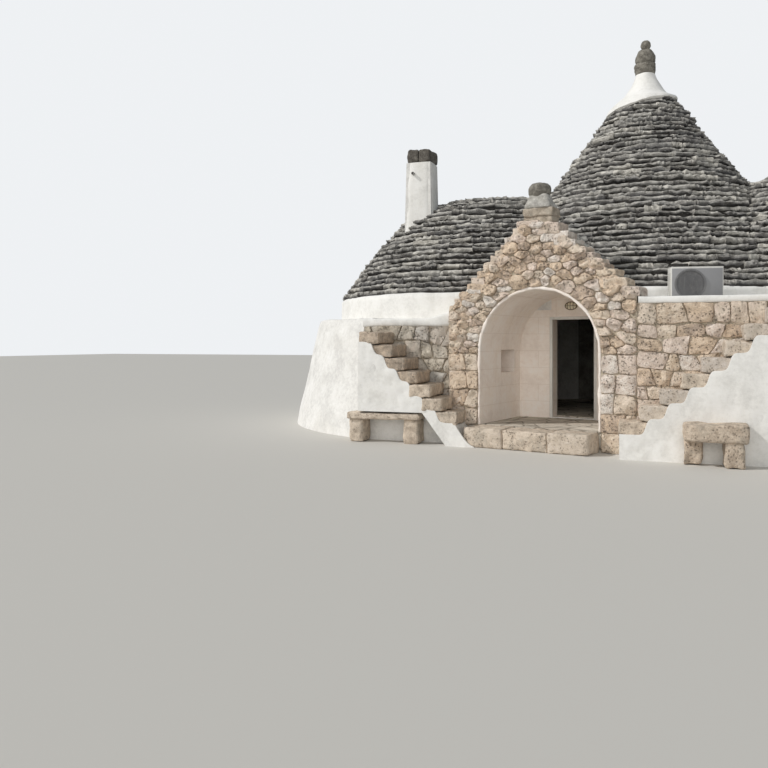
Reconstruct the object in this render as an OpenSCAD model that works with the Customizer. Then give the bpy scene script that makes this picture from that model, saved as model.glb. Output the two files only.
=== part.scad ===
// Trullo house: three corbelled stone cones on thick limewashed walls, a gabled
// porch with a vaulted niche, a door, two outside stairs, benches and a chimney.
// Millimetres. x runs along the front walls, y goes inward, z is up.
// The origin is on the ground under the top of the main cone.

/* [Rooms] */
// radius of the main room inside
main_room_r = 2500; // [2200:50:2700]
// radius of each side room inside
side_room_r = 1700; // [1400:50:1800]
// height of the floor over the ground
floor_z = 320; // [200:10:400]
// height at which the inner vaults begin
spring_z = 2200; // [2000:50:2400]
// height of the main vault's top
main_vault_z = 5950; // [5200:50:6000]
// height of the side vaults' top
side_vault_z = 4100; // [3600:50:4200]

/* [Round walls] */
// thickness of the main wall at the ground
main_wall_t = 1400; // [1000:50:1600]
// thickness of the side walls at the ground
side_wall_t = 2300; // [1500:50:2500]
// how far the side rooms reach into the main room
side_lap = 1250; // [900:50:1500]
// how far the side cones stand forward
side_y = -200; // [-400:50:0]
// how much the round walls lean in over their height
batter = 470; // [100:10:500]
// top of the left round wall
left_wall_z = 2000; // [1800:10:2200]
// top of the main and right walls
right_wall_z = 2150; // [2000:10:2300]

/* [Roofs] */
// height at which the slates begin
eaves_z = 2400; // [2300:10:2600]
// how far the main cone's foot lies inside the wall at the ground
main_ledge = 370; // [300:10:450]
// the same for the side cones
side_ledge = 950; // [800:10:1050]
// a point on the main cone's side, and one above it
main_mid_r = 1640; // [1500:10:1900]
main_mid_z = 4600; // [4300:10:4800]
main_up_r = 900; // [800:10:1000]
main_up_z = 5600; // [5300:10:5800]
// points on the side cones, from low to high
side_low_r = 2360; // [2200:10:2500]
side_low_z = 3320; // [3100:10:3500]
side_mid_r = 1850; // [1700:10:2000]
side_mid_z = 3870; // [3700:10:4000]
side_up_r = 1110; // [900:10:1200]
left_up_z = 4290; // [4200:10:4350]
right_up_z = 4390; // [4250:10:4450]
// flat top of the side cones
side_flat_r = 500; // [300:10:700]
// height of one course of slabs
course_h = 100; // [90:2:120]
// where a slab's edge meets the cone, as a share of its course
course_at = 0.35; // [0.1:0.05:0.6]
// how far the plastered bands stand out under the slates
band_out = 40; // [10:5:80]
// top of the left cone
left_top_z = 4360; // [4300:10:4700]
// top of the right cone
right_top_z = 4550; // [4300:10:4700]
// foot of the white cap on the main cone
cap_z = 6230; // [6000:10:6400]
// radius of the main cone under the cap
cap_r = 490; // [400:10:600]
// height of the white cap
cap_h = 550; // [400:10:700]
// radius at the cap's top
cap_top_r = 185; // [120:5:220]

/* [Pinnacle] */
// radius of the pinnacle's drum
pin_drum_r = 205; // [150:5:250]
// height of the pinnacle's drum
pin_drum_h = 210; // [180:10:300]
// radius of the bulb
pin_bulb_r = 190; // [140:5:220]
// height of the bulb
pin_bulb_h = 300; // [200:10:340]
// radius of the ball on top
pin_ball_r = 95; // [60:5:120]

/* [Porch] */
// how far the porch is turned
porch_turn = -13; // [-20:1:0]
// how far its middle lies beside the main cone's
porch_off = 516; // [300:2:700]
// half width of the porch block
porch_half = 1490; // [1300:10:1700]
// half width of the niche
niche_half = 950; // [800:10:1050]
// thickness of the wall around the door
door_wall_t = 250; // [200:10:400]
// height at which the arch springs
arch_z = 1455; // [1300:5:1700]
// thickness of the niche's plaster
plaster = 30; // [20:5:50]
// floor of the porch
porch_floor_z = 300; // [150:10:350]
// thickness of the gable wall
gable_t = 400; // [300:10:500]
// gable heights at the left end, the top and the right end
gable_left_z = 2100; // [1900:10:2400]
gable_top_z = 3420; // [3200:10:3600]
gable_right_z = 2310; // [2100:10:2500]
// flat top of the gable, and its middle from the porch's
gable_top_w = 430; // [300:10:600]
gable_top_x = -30; // [-100:10:100]
// how far the porch roof lies under the gable's edge
roof_drop = 130; // [80:10:200]
// thickness of the porch slates
slate_t = 120; // [80:10:160]
// how far the porch roof runs on behind the niche
roof_lap = 700; // [600:50:800]
// length of the porch block
porch_long = 2700; // [2400:50:3000]
// recess in the left side of the niche
recess_y = 800; // [600:10:1000]
recess_w = 550; // [300:10:600]
recess_z = 1090; // [900:10:1200]
recess_h = 380; // [250:10:450]
recess_d = 300; // [200:10:350]
// stone step before the niche
step_w = 1950; // [1500:50:2400]
step_d = 500; // [300:10:600]

/* [Finial] */
// width of the finial's plinth
fin_plinth_w = 600; // [450:10:700]
// height of the plinth
fin_plinth_h = 220; // [150:10:260]
// width of the collar
fin_collar_w = 350; // [280:10:420]
// height of the collar
fin_collar_h = 200; // [150:10:260]
// radius of the dome
fin_dome_r = 173; // [130:1:200]

/* [Door] */
// half width of the opening
door_half = 410; // [380:5:450]
// height of the opening's top over the ground
door_z = 2030; // [1950:10:2100]
// width of the frame
frame_w = 50; // [40:5:70]
// depth of the frame
frame_d = 40; // [30:5:60]
// thickness of the leaf
leaf_t = 36; // [30:2:45]
// gap between frame and leaf
door_gap = 7; // [5:1:10]
// distance of the hinge line from the opening's side
hinge_in = 30; // [25:1:40]
// how far the leaf stands open
leaf_open = 85; // [0:5:90]
// radius and height of a hinge knuckle
knuckle_r = 9; // [7:1:11]
knuckle_h = 90; // [70:5:110]
// distance of the outer hinges from the ends of the leaf
knuckle_end = 150; // [100:10:200]
// running gap of the hinges
hinge_gap = 0.3; // [0.2:0.1:0.5]
// lamp over the door
lamp_x = -20; // [-200:10:200]
lamp_z = 2210; // [2150:10:2300]
lamp_w = 220; // [160:10:260]
lamp_h = 140; // [100:10:160]
lamp_d = 75; // [50:5:100]

/* [Front walls] */
// thickness of the right front wall
right_wing_t = 900; // [700:50:1000]
// right end of the right front wall from the right cone's middle
right_wing_out = 1350; // [1100:50:1600]
// how far the left front wall stands back from the porch's corner
left_back = 135; // [50:5:250]
// thickness of the left front wall
left_wing_t = 450; // [350:10:600]
// left end of the left front wall from the left cone's middle
left_wing_out = 1500; // [1400:50:2000]
// top of the left front wall without its coping
left_wing_z = 1880; // [1800:10:2000]
// thickness of the copings
coping_t = 80; // [50:5:100]
// how far the copings stand out
coping_out = 20; // [5:5:40]
// width of the right coping
coping_w = 380; // [300:10:450]

/* [Left stair] */
// nose of the first tread
lstair_x = -2650; // [-2900:10:-2500]
// width of the left stair
lstair_w = 820; // [600:10:900]
// number of treads
lstair_n = 7; // [6:1:8]
// going and rise of the left stair
lstair_going = 211; // [200:1:280]
lstair_rise = 207; // [180:1:230]
// top of the first tread
lstair_z = 532; // [450:2:560]
// length of a block
lstair_len = 330; // [280:10:450]
// how far the white wall under the steps stands back
lstair_in = 30; // [10:5:120]
// how far the hollow under it stands back
lstair_hollow = 420; // [200:10:600]
// length and height of its toe
lstair_toe = 280; // [150:10:320]
lstair_toe_z = 80; // [60:10:120]
// where the hollow begins at the ground and at its top
hollow_foot = 160; // [100:10:250]
hollow_gap = 20; // [10:5:50]

/* [Right stair] */
// nose of the first tread
rstair_x = -220; // [-300:10:300]
// number of treads
rstair_n = 8; // [7:1:9]
// going and rise of the right stair
rstair_going = 260; // [240:2:300]
rstair_rise = 220; // [180:1:240]
// top of the first tread
rstair_z = 527; // [450:1:560]
// length of a block
rstair_len = 380; // [300:10:450]
// width of the right stair
rstair_w = 480; // [400:10:600]
// how far the treads lie back from the white wall
rstair_in = 15; // [0:5:60]

/* [Benches] */
// right bench slab
rbench_x = 570; // [400:10:700]
rbench_w = 790; // [600:10:1100]
rbench_d = 410; // [350:10:500]
rbench_z = 560; // [500:10:600]
rbench_t = 240; // [150:10:260]
// left bench slab
lbench_x = -4470; // [-4600:10:-4300]
lbench_w = 1240; // [1000:10:1400]
lbench_d = 400; // [300:10:450]
lbench_z = 480; // [400:10:500]
lbench_t = 110; // [90:5:150]
// width of a bench support
bench_foot = 240; // [180:10:300]

/* [Chimney] */
// how far it stands to the left and forward of the left cone's middle
chimney_out = 1170; // [1000:10:1300]
chimney_fore = 1180; // [1000:10:1300]
// width at the foot and at the top
chimney_w = 540; // [450:10:650]
chimney_top_w = 480; // [400:10:560]
// foot and top of the stack
chimney_z = 3600; // [3500:10:3800]
chimney_top_z = 5070; // [4900:10:5200]
// inside width of the flue
flue_w = 220; // [160:10:260]
// height of the cap stones and the gap between them
capstone_h = 260; // [200:10:300]
capstone_gap = 60; // [40:5:90]
// pipe stub
pipe_r = 30; // [20:2:40]
pipe_len = 90; // [60:5:120]
pipe_z = 4850; // [4700:10:4900]

/* [Terrace unit] */
unit_x = 435; // [300:10:500]
unit_back = 420; // [380:10:500]
unit_w = 720; // [600:10:850]
unit_d = 270; // [240:10:320]
unit_h = 530; // [450:10:600]
// how far the unit is turned
unit_turn = 10; // [0:1:20]
// feet under the case
unit_foot = 40; // [20:5:60]
// radius of the fan ring
fan_r = 215; // [180:5:240]

/* [Hidden] */
big = 20000;
main_wall_r = main_room_r + main_wall_t;
side_wall_r = side_room_r + side_wall_t;
main_roof_r = main_wall_r - main_ledge;
side_roof_r = side_wall_r - side_ledge;
side_x = main_room_r + side_room_r - side_lap;
porch_front = main_wall_r + gable_t;
door_plane = sqrt(main_room_r * main_room_r - porch_off * porch_off) + door_wall_t;
niche_depth = porch_front - door_plane;
porch_corner_x = cos(porch_turn) * (porch_half - porch_off) + sin(porch_turn) * porch_front;
porch_corner_y = sin(porch_turn) * (porch_half - porch_off) - cos(porch_turn) * porch_front;
porch_left_y = sin(porch_turn) * (-porch_half - porch_off) - cos(porch_turn) * porch_front;
right_face_y = ceil(porch_corner_y);
left_face_y = round(porch_left_y + left_back);
right_wing_x = side_x + right_wing_out;
left_wing_x = -side_x - left_wing_out;
lstair_y = left_face_y - lstair_w;
rstair_y = right_face_y - rstair_w;
unit_y = right_face_y + unit_back;
chimney_x = -side_x - chimney_out;
chimney_y = side_y - chimney_fore;
band_main_r = main_roof_r + band_out;
band_side_r = side_roof_r + band_out;
leaf_half = door_half - hinge_in;
leaf_z = porch_floor_z + 20 + 8;
leaf_h = door_z - frame_w + 18 - leaf_z;
hinge_y = niche_depth + frame_d + door_gap + leaf_t / 2;
pin_z = cap_z + cap_h;
fin_y = gable_t / 2;
lstair_end = lstair_x - (lstair_n - 1) * lstair_going - lstair_len;
rstair_end = rstair_x + (rstair_n - 1) * rstair_going + rstair_len;
hollow_z = lbench_z + hollow_gap;
lbench_back = lstair_y + lstair_hollow;

function knuckle_z(k) = knuckle_end + k * (leaf_h - 2 * knuckle_end - knuckle_h) / 2;
module at_left() { translate([-side_x, side_y, 0]) children(); }
module at_right() { translate([side_x, side_y, 0]) children(); }
module at_porch() { rotate([0, 0, porch_turn]) translate([-porch_off, -porch_front, 0]) children(); }
module block(x0, y0, z0, x1, y1, z1) { translate([x0, y0, z0]) cube([x1 - x0, y1 - y0, z1 - z0]); }

// rooms inside, cut out of everything around them
function up(share, top_z) = spring_z + share * (top_z - spring_z);
module main_void() {
  rotate_extrude($fn = 256) polygon([[0, floor_z], [main_room_r, floor_z], [main_room_r, spring_z],
    [main_room_r * 0.93, up(0.16, main_vault_z)], [main_room_r * 0.4, up(0.733, main_vault_z)],
    [0, main_vault_z]]);
}
module side_void() {
  rotate_extrude($fn = 256) polygon([[0, floor_z], [side_room_r, floor_z], [side_room_r, spring_z],
    [side_room_r * 0.88, up(0.316, side_vault_z)], [side_room_r * 0.45, up(0.842, side_vault_z)],
    [0, side_vault_z]]);
}
module rooms() {
  main_void();
  at_left() side_void();
  at_right() side_void();
}
// the niche with its plaster, cut out of the stone around it
module niche_outer(grow) {
  r = niche_half + grow;
  at_porch() {
    block(-r, -100, -1, r, niche_depth, arch_z);
    translate([0, niche_depth, arch_z]) rotate([90, 0, 0])
      cylinder(r = r, h = niche_depth + 100, $fn = 256);
  }
}
module recess(grow, deeper) {
  at_porch() block(-niche_half - recess_d - deeper, recess_y - grow, recess_z - grow,
    -niche_half + 1, recess_y + recess_w + grow, recess_z + recess_h + grow);
}
module porch_block(z1) {
  at_porch() block(-porch_half, 0, -1, porch_half, porch_long, z1);
}
module door_hole() {
  at_porch() block(-door_half, niche_depth - 1, porch_floor_z, door_half, porch_long + 1, door_z);
}

// floor and round walls
module floor_from(z0) {
  translate([0, 0, z0]) {
    cylinder(r = main_room_r, h = floor_z - z0, $fn = 256);
    at_left() cylinder(r = side_room_r, h = floor_z - z0, $fn = 256);
    at_right() cylinder(r = side_room_r, h = floor_z - z0, $fn = 256);
  }
}
module room_floor() color("#b9b2a4") union() {
  floor_from(0);
}
module rooms_down() {
  rooms();
  floor_from(-1);
}
module main_mass(z1) {
  cylinder(r1 = main_wall_r, r2 = main_wall_r - batter * 0.6, h = z1, $fn = 256);
}
module side_mass(z1) { cylinder(r1 = side_wall_r, r2 = side_wall_r - batter, h = z1, $fn = 256); }
module left_wall() {
  difference() {
    at_left() side_mass(left_wall_z);
    rooms_down();
    porch_block(left_wall_z + 1);
    block(left_wing_x, -big, -1, big, left_face_y + left_wing_t, left_wall_z + 1);
    block(-side_x / 2, -big, -1, big, big, left_wall_z + 1);
  }
}
module left_wall_front() color("#efebe2") difference() {
  left_wall();
  block(-big, side_y, -1, big, big, left_wall_z + 1);
}
module left_wall_back() color("#efebe2") difference() {
  left_wall();
  block(-big, -big, -1, big, side_y, left_wall_z + 1);
}
module right_wall() {
  difference() {
    at_right() side_mass(right_wall_z);
    rooms_down();
    porch_block(right_wall_z + 1);
    block(-big, -big, -1, big, right_face_y + right_wing_t, right_wall_z + 1);
    block(-big, -big, -1, side_x / 2, big, right_wall_z + 1);
  }
}
module right_wall_front() color("#efebe2") difference() {
  right_wall();
  block(-big, side_y, -1, big, big, right_wall_z + 1);
}
module right_wall_back() color("#efebe2") difference() {
  right_wall();
  block(-big, -big, -1, big, side_y, right_wall_z + 1);
}
module main_wall() {
  difference() {
    main_mass(right_wall_z);
    rooms_down();
    porch_block(right_wall_z + 1);
    block(-big, -big, -1, -side_x / 2, big, right_wall_z + 1);
    block(side_x / 2, -big, -1, big, big, right_wall_z + 1);
    block(-big, -big, -1, big, right_face_y + right_wing_t, right_wall_z + 1);
  }
}
module main_wall_front() color("#efebe2") difference() {
  main_wall();
  block(-big, 0, -1, big, big, right_wall_z + 1);
}
module main_wall_back() color("#efebe2") difference() {
  main_wall();
  block(-big, -big, -1, big, 0, right_wall_z + 1);
}

// front walls with their copings
module left_wing_wall() color("#d9cdb6") difference() {
  block(left_wing_x, left_face_y, 0, -side_x + side_lap, left_face_y + left_wing_t, left_wing_z);
  porch_block(big);
}
module left_coping() color("#f1eee6") difference() {
  block(left_wing_x, left_face_y - coping_out, left_wing_z, -side_x + side_lap,
    left_face_y + left_wing_t, left_wing_z + coping_t);
  porch_block(big);
}
module right_wing_wall() color("#d9cdb6") difference() {
  block(porch_corner_x, right_face_y, 0, right_wing_x, right_face_y + right_wing_t,
    right_wall_z);
  porch_block(big);
}
module right_coping() color("#f1eee6") difference() {
  block(porch_corner_x + coping_out, right_face_y - coping_out, right_wall_z, right_wing_x,
    right_face_y + coping_w, right_wall_z + coping_t);
  porch_block(big);
}

// plastered bands under the slates
module main_band() color("#efebe2") difference() {
  translate([0, 0, right_wall_z]) cylinder(r = band_main_r, h = eaves_z - right_wall_z, $fn = 256);
  rooms();
  niche_outer(plaster);
  block(-big, -big, 0, -side_x / 2, big, big);
  block(side_x / 2, -big, 0, big, big, big);
}
module left_band() color("#efebe2") difference() {
  at_left() translate([0, 0, left_wall_z])
    cylinder(r = band_side_r, h = eaves_z - left_wall_z, $fn = 256);
  rooms();
  niche_outer(plaster);
  door_mass();
  block(-side_x / 2, -big, 0, big, big, big);
}
module right_band() color("#efebe2") difference() {
  at_right() translate([0, 0, right_wall_z])
    cylinder(r = band_side_r, h = eaves_z - right_wall_z, $fn = 256);
  rooms();
  block(-big, -big, 0, side_x / 2, big, big);
}

// cones
// a line of heights and radii becomes one step for each course of slabs
function course_r(z, line) = lookup(z + course_h * course_at, line);
function courses(line, top_z) = let (n = round((top_z - eaves_z) / course_h))
  [for (i = [0:n - 1]) for (k = [i, i + 1])
    [course_r(eaves_z + i * course_h, line), k == n ? top_z : eaves_z + k * course_h]];
module main_outer(z0) {
  line = [[eaves_z, main_roof_r], [main_mid_z, main_mid_r], [main_up_z, main_up_r],
    [cap_z, cap_r]];
  rotate_extrude($fn = 256) polygon(concat([[0, z0], [course_r(eaves_z, line), z0]],
    courses(line, cap_z), [[0, cap_z]]));
}
module side_outer(up_z, top_z) {
  line = [[eaves_z, side_roof_r], [side_low_z, side_low_r], [side_mid_z, side_mid_r],
    [up_z, side_up_r], [top_z, side_flat_r]];
  rotate_extrude($fn = 256) polygon(concat([[0, eaves_z]], courses(line, top_z), [[0, top_z]]));
}
module main_roof_front() color("#77746f") difference() {
  main_outer(eaves_z);
  rooms();
  niche_outer(plaster);
  block(-big, 0, 0, big, big, big);
}
module main_roof_back() color("#77746f") difference() {
  main_outer(eaves_z);
  rooms();
  block(-big, -big, 0, big, 0, big);
}
module left_roof() color("#77746f") difference() {
  at_left() side_outer(left_up_z, left_top_z);
  main_outer(eaves_z - 1);
  rooms();
  niche_outer(plaster);
  flue(0);
  chimney_body();
}
module right_roof() color("#77746f") difference() {
  at_right() side_outer(right_up_z, right_top_z);
  main_outer(eaves_z - 1);
  rooms();
}
module main_cap() color("#f3f1ec") translate([0, 0, cap_z]) rotate_extrude($fn = 128)
  polygon([[0, 0], [cap_r + 12, 0], [cap_r * 0.82, cap_h * 0.2], [cap_r * 0.56, cap_h * 0.55],
    [cap_r * 0.38, cap_h * 0.85], [cap_top_r, cap_h], [0, cap_h]]);
module pinnacle_drum() color("#8a8578") translate([0, 0, pin_z]) rotate_extrude($fn = 96)
  polygon([[0, 0], [pin_drum_r * 0.72, 0], [pin_drum_r, pin_drum_h * 0.55],
    [pin_drum_r, pin_drum_h * 0.85], [pin_drum_r * 0.85, pin_drum_h], [0, pin_drum_h]]);
module pinnacle_bulb() color("#8a8578") translate([0, 0, pin_z + pin_drum_h])
  rotate_extrude($fn = 96) polygon([[0, 0], [pin_bulb_r * 0.85, 0],
    [pin_bulb_r, pin_bulb_h * 0.3], [pin_bulb_r, pin_bulb_h * 0.6],
    [pin_bulb_r * 0.8, pin_bulb_h * 0.85], [pin_bulb_r * 0.35, pin_bulb_h], [0, pin_bulb_h]]);
module pinnacle_ball() color("#8a8578") translate([0, 0, pin_z + pin_drum_h + pin_bulb_h])
  intersection() {
    translate([0, 0, pin_ball_r * 0.8]) sphere(r = pin_ball_r, $fn = 72);
    cylinder(r = pin_ball_r * 2, h = pin_ball_r * 2, $fn = 72);
  }

// porch
module gable_shape(drop) {
  polygon([[-porch_half, arch_z], [-porch_half, gable_left_z - drop],
    [gable_top_x - gable_top_w / 2, gable_top_z - drop],
    [gable_top_x + gable_top_w / 2, gable_top_z - drop],
    [porch_half, gable_right_z - drop], [porch_half, arch_z]]);
}
module gable_prism(drop, y0, y1) {
  at_porch() translate([0, y1, 0]) rotate([90, 0, 0]) linear_extrude(y1 - y0) gable_shape(drop);
}
module porch_left_pier() color("#d9cdb6") difference() {
  at_porch() block(-porch_half, 0, 0, -niche_half - plaster, niche_depth, arch_z);
  at_left() cylinder(r = side_room_r, h = arch_z + 1, $fn = 256);
  recess(plaster, plaster);
}
module porch_right_pier() color("#d9cdb6") difference() {
  at_porch() block(niche_half + plaster, 0, 0, porch_half, niche_depth, arch_z);
  translate([0, 0, -1]) cylinder(r = main_room_r, h = arch_z + 2, $fn = 256);
}
module porch_gable() color("#d9cdb6") difference() {
  gable_prism(0, 0, gable_t);
  niche_outer(plaster);
}
module porch_haunch() color("#cfc4ae") difference() {
  gable_prism(roof_drop + slate_t, gable_t, niche_depth);
  niche_outer(plaster);
  recess(plaster, plaster);
  rooms();
  main_band_solid(right_wall_z);
  left_band_solid(left_wall_z);
  main_outer(eaves_z - 1);
  at_left() side_outer(left_up_z, left_top_z);
}
module main_band_solid(z0) {
  translate([0, 0, z0]) intersection() {
    cylinder(r = band_main_r, h = eaves_z - z0, $fn = 256);
    block(-side_x / 2, -big, 0, side_x / 2, big, big);
  }
}
module left_band_solid(z0) {
  intersection() {
    at_left() translate([0, 0, z0]) cylinder(r = band_side_r, h = eaves_z - z0, $fn = 256);
    block(-big, -big, 0, -side_x / 2, big, big);
  }
}
module porch_roof() color("#77746f") difference() {
  gable_prism(roof_drop, gable_t, niche_depth + roof_lap);
  gable_prism(roof_drop + slate_t, gable_t - 1, niche_depth + roof_lap + 1);
  at_porch() block(-porch_half - 1, 0, 0, -porch_half + 1, big, gable_left_z - roof_drop - slate_t);
  main_band_solid(0);
  left_band_solid(0);
  main_outer(eaves_z - 1);
  at_left() side_outer(left_up_z, left_top_z);
}
module door_mass() {
  intersection() {
    at_porch() block(-porch_half, niche_depth, 0, porch_half, porch_long, right_wall_z);
    union() {
      porch_block(gable_left_z - roof_drop - slate_t);
      gable_prism(roof_drop + slate_t, niche_depth, porch_long);
    }
  }
}
module door_wall() color("#efe6da") difference() {
  door_mass();
  rooms_down();
  door_hole();
}
module porch_lining() color("#f0e3d6") difference() {
  union() {
    difference() {
      niche_outer(plaster);
      niche_outer(0);
      at_porch() block(-big, -big, -2, big, 0, big);
      at_porch() block(-big, -1, -2, big, big, porch_floor_z);
    }
    difference() {
      recess(plaster, plaster);
      at_porch() block(-niche_half, -big, 0, big, big, big);
    }
  }
  recess(0, 0);
}
module porch_floor() color("#b9b2a4") at_porch()
  block(-niche_half - plaster, 0, 0, niche_half + plaster, niche_depth, porch_floor_z);
module porch_step() color("#c9bda4") at_porch()
  block(-step_w / 2 - 25, -step_d, 0, step_w / 2 - 25, 0, porch_floor_z);

// finial on the gable
module finial_plinth() color("#cbbf9c") at_porch() translate([gable_top_x, fin_y, gable_top_z])
  union() {
    block(-fin_plinth_w / 2 + 50, -fin_y + 40, 0, fin_plinth_w / 2 - 50, fin_y - 40,
      fin_plinth_h * 0.45);
    block(-fin_plinth_w / 2, -fin_y + 10, fin_plinth_h * 0.45, fin_plinth_w / 2, fin_y - 10,
      fin_plinth_h);
  }
module finial_collar() color("#cbbf9c") at_porch()
  translate([gable_top_x - fin_collar_w / 2, fin_y - fin_collar_w / 2, gable_top_z + fin_plinth_h])
    cube([fin_collar_w, fin_collar_w, fin_collar_h]);
module finial_dome() color("#cbbf9c") at_porch()
  translate([gable_top_x, fin_y, gable_top_z + fin_plinth_h + fin_collar_h]) intersection() {
    translate([0, 0, fin_dome_r * 0.22]) sphere(r = fin_dome_r, $fn = 96);
    cylinder(r = fin_dome_r * 2, h = fin_dome_r * 2, $fn = 96);
  }

// door
module door_frame() color("#d8d5cc") at_porch() difference() {
  block(-door_half, niche_depth, porch_floor_z, door_half, niche_depth + frame_d, door_z);
  block(-door_half + frame_w, niche_depth - 1, porch_floor_z + 20, door_half - frame_w,
    niche_depth + frame_d + 1, door_z - frame_w);
}
module door_leaf() color("#8c8f8a") at_porch() translate([leaf_half, hinge_y, leaf_z])
  rotate([0, 0, -leaf_open]) difference() {
    block(-2 * leaf_half, -leaf_t / 2, 0, 0, leaf_t / 2, leaf_h);
    for (k = [0:2]) translate([0, 0, knuckle_z(k) - hinge_gap])
      cylinder(r = knuckle_r + hinge_gap, h = knuckle_h + 2 * hinge_gap, $fn = 72);
  }
module door_hinges() color("#55534f") at_porch() translate([leaf_half, hinge_y, leaf_z]) union() {
  for (k = [0:2]) translate([0, 0, knuckle_z(k)]) {
    cylinder(r = knuckle_r, h = knuckle_h, $fn = 72);
    translate([0, -knuckle_r, 0]) cube([hinge_in, 5, knuckle_h]);
  }
}
module door_lamp() color("#e9e6dc") at_porch() translate([lamp_x, niche_depth, lamp_z])
  rotate([90, 0, 0]) union() {
    translate([-(lamp_w - lamp_h) / 2, 0, 0]) cylinder(d = lamp_h, h = lamp_d, $fn = 72);
    translate([(lamp_w - lamp_h) / 2, 0, 0]) cylinder(d = lamp_h, h = lamp_d, $fn = 72);
    translate([-(lamp_w - lamp_h) / 2, -lamp_h / 2, 0]) cube([lamp_w - lamp_h, lamp_h, lamp_d]);
  }

// left stair, rising to the left along the front on a raking white support
module left_treads() color("#c4b596") difference() {
  for (i = [0:lstair_n - 1]) translate([lstair_x - i * lstair_going - lstair_len, lstair_y,
    lstair_z + (i - 1) * lstair_rise])
    cube([lstair_len, left_face_y - lstair_y, lstair_rise]);
  porch_block(big);
}
module left_stair_base() color("#f1eee6") difference() {
  translate([0, left_face_y, 0]) rotate([90, 0, 0])
    linear_extrude(left_face_y - lstair_y - lstair_in) polygon(concat(
      [[lstair_end, 0], [lstair_x + lstair_toe, 0], [lstair_x + lstair_toe * 0.45, lstair_toe_z],
       [lstair_x, lstair_z - lstair_rise]],
      [for (i = [0:lstair_n - 2]) for (k = [0, 1])
        [lstair_x - i * lstair_going - lstair_len, lstair_z + (i - 1 + k) * lstair_rise]],
      [[lstair_end, lstair_z + (lstair_n - 2) * lstair_rise]]));
  translate([0, lbench_back, 0]) rotate([90, 0, 0]) linear_extrude(lstair_hollow + 100)
    polygon([[lstair_x - hollow_foot, -1], [lstair_x - lstair_len - lstair_going, hollow_z],
      [lstair_end - 1, hollow_z], [lstair_end - 1, -1]]);
  porch_block(big);
  at_porch() block(-step_w / 2 - 25, -step_d, -1, step_w / 2 - 25, 0, porch_floor_z);
}

// right stair, rising to the right along the front
module right_treads() color("#b8ab92") difference() {
  for (i = [0:rstair_n - 1]) translate([rstair_x + i * rstair_going, rstair_y + rstair_in,
    rstair_z + (i - 1) * rstair_rise])
    cube([rstair_len, right_face_y - rstair_y - rstair_in, rstair_rise]);
  porch_block(big);
}
module right_stair_base() color("#f3f1ec") difference() {
  translate([0, right_face_y, 0]) rotate([90, 0, 0]) linear_extrude(right_face_y - rstair_y)
    polygon(concat([[rstair_end, 0], [rstair_x, 0], [rstair_x, rstair_z - rstair_rise]],
      [for (i = [0:rstair_n - 2]) for (k = [0, 1])
        [rstair_x + i * rstair_going + rstair_len, rstair_z + (i - 1 + k) * rstair_rise]],
      [[rstair_end, rstair_z + (rstair_n - 2) * rstair_rise]]));
  porch_block(big);
  at_porch() block(-step_w / 2 - 25, -step_d, -1, step_w / 2 - 25, 0, porch_floor_z);
}

// benches
module right_bench() color("#c4b596") union() {
  block(rbench_x, rstair_y - rbench_d, rbench_z - rbench_t, rbench_x + rbench_w, rstair_y, rbench_z);
  block(rbench_x + rbench_w - bench_foot - 60, rstair_y - rbench_d + 40, 0,
    rbench_x + rbench_w - 60, rstair_y, rbench_z - rbench_t);
  block(rbench_x + 20, rstair_y - rbench_d * 0.45, 0, rbench_x + bench_foot, rstair_y,
    rbench_z - rbench_t);
}
module left_bench() color("#c4b596") union() {
  block(lbench_x, lbench_back - lbench_d, lbench_z - lbench_t, lbench_x + lbench_w,
    lbench_back, lbench_z);
  block(lbench_x + 40, lbench_back - lbench_d + 40, 0, lbench_x + 40 + bench_foot, lbench_back,
    lbench_z - lbench_t);
  block(lbench_x + lbench_w - 40 - bench_foot, lbench_back - lbench_d + 40, 0,
    lbench_x + lbench_w - 40, lbench_back, lbench_z - lbench_t);
}

// chimney on the left cone
module flue(more) {
  translate([chimney_x - flue_w / 2, chimney_y - flue_w / 2, spring_z + 100])
    cube([flue_w, flue_w, chimney_top_z - spring_z - 99 + more]);
}
module chimney_body() {
  translate([chimney_x, chimney_y, chimney_z]) rotate([0, 0, 45])
    cylinder(d1 = chimney_w * sqrt(2), d2 = chimney_top_w * sqrt(2),
      h = chimney_top_z - chimney_z, $fn = 4);
}
module chimney_stack() color("#f3f1ec") difference() {
  chimney_body();
  flue(1);
  rooms();
  block(-big, -big, chimney_top_z, big, big, big);
}
module chimney_cap() color("#8a8578") union() {
  block(chimney_x - chimney_top_w / 2 + 10, chimney_y - chimney_top_w / 2, chimney_top_z,
    chimney_x - capstone_gap / 2, chimney_y + chimney_top_w / 2, chimney_top_z + capstone_h);
  block(chimney_x + capstone_gap / 2, chimney_y - chimney_top_w / 2, chimney_top_z,
    chimney_x + chimney_top_w / 2 - 10, chimney_y + chimney_top_w / 2, chimney_top_z + capstone_h);
}
module chimney_pipe() color("#a9a69e") difference() {
  translate([chimney_x - 90, chimney_y - chimney_top_w / 2, pipe_z]) rotate([90, 0, 0])
    cylinder(r = pipe_r, h = pipe_len, $fn = 48);
  chimney_body();
}

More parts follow.
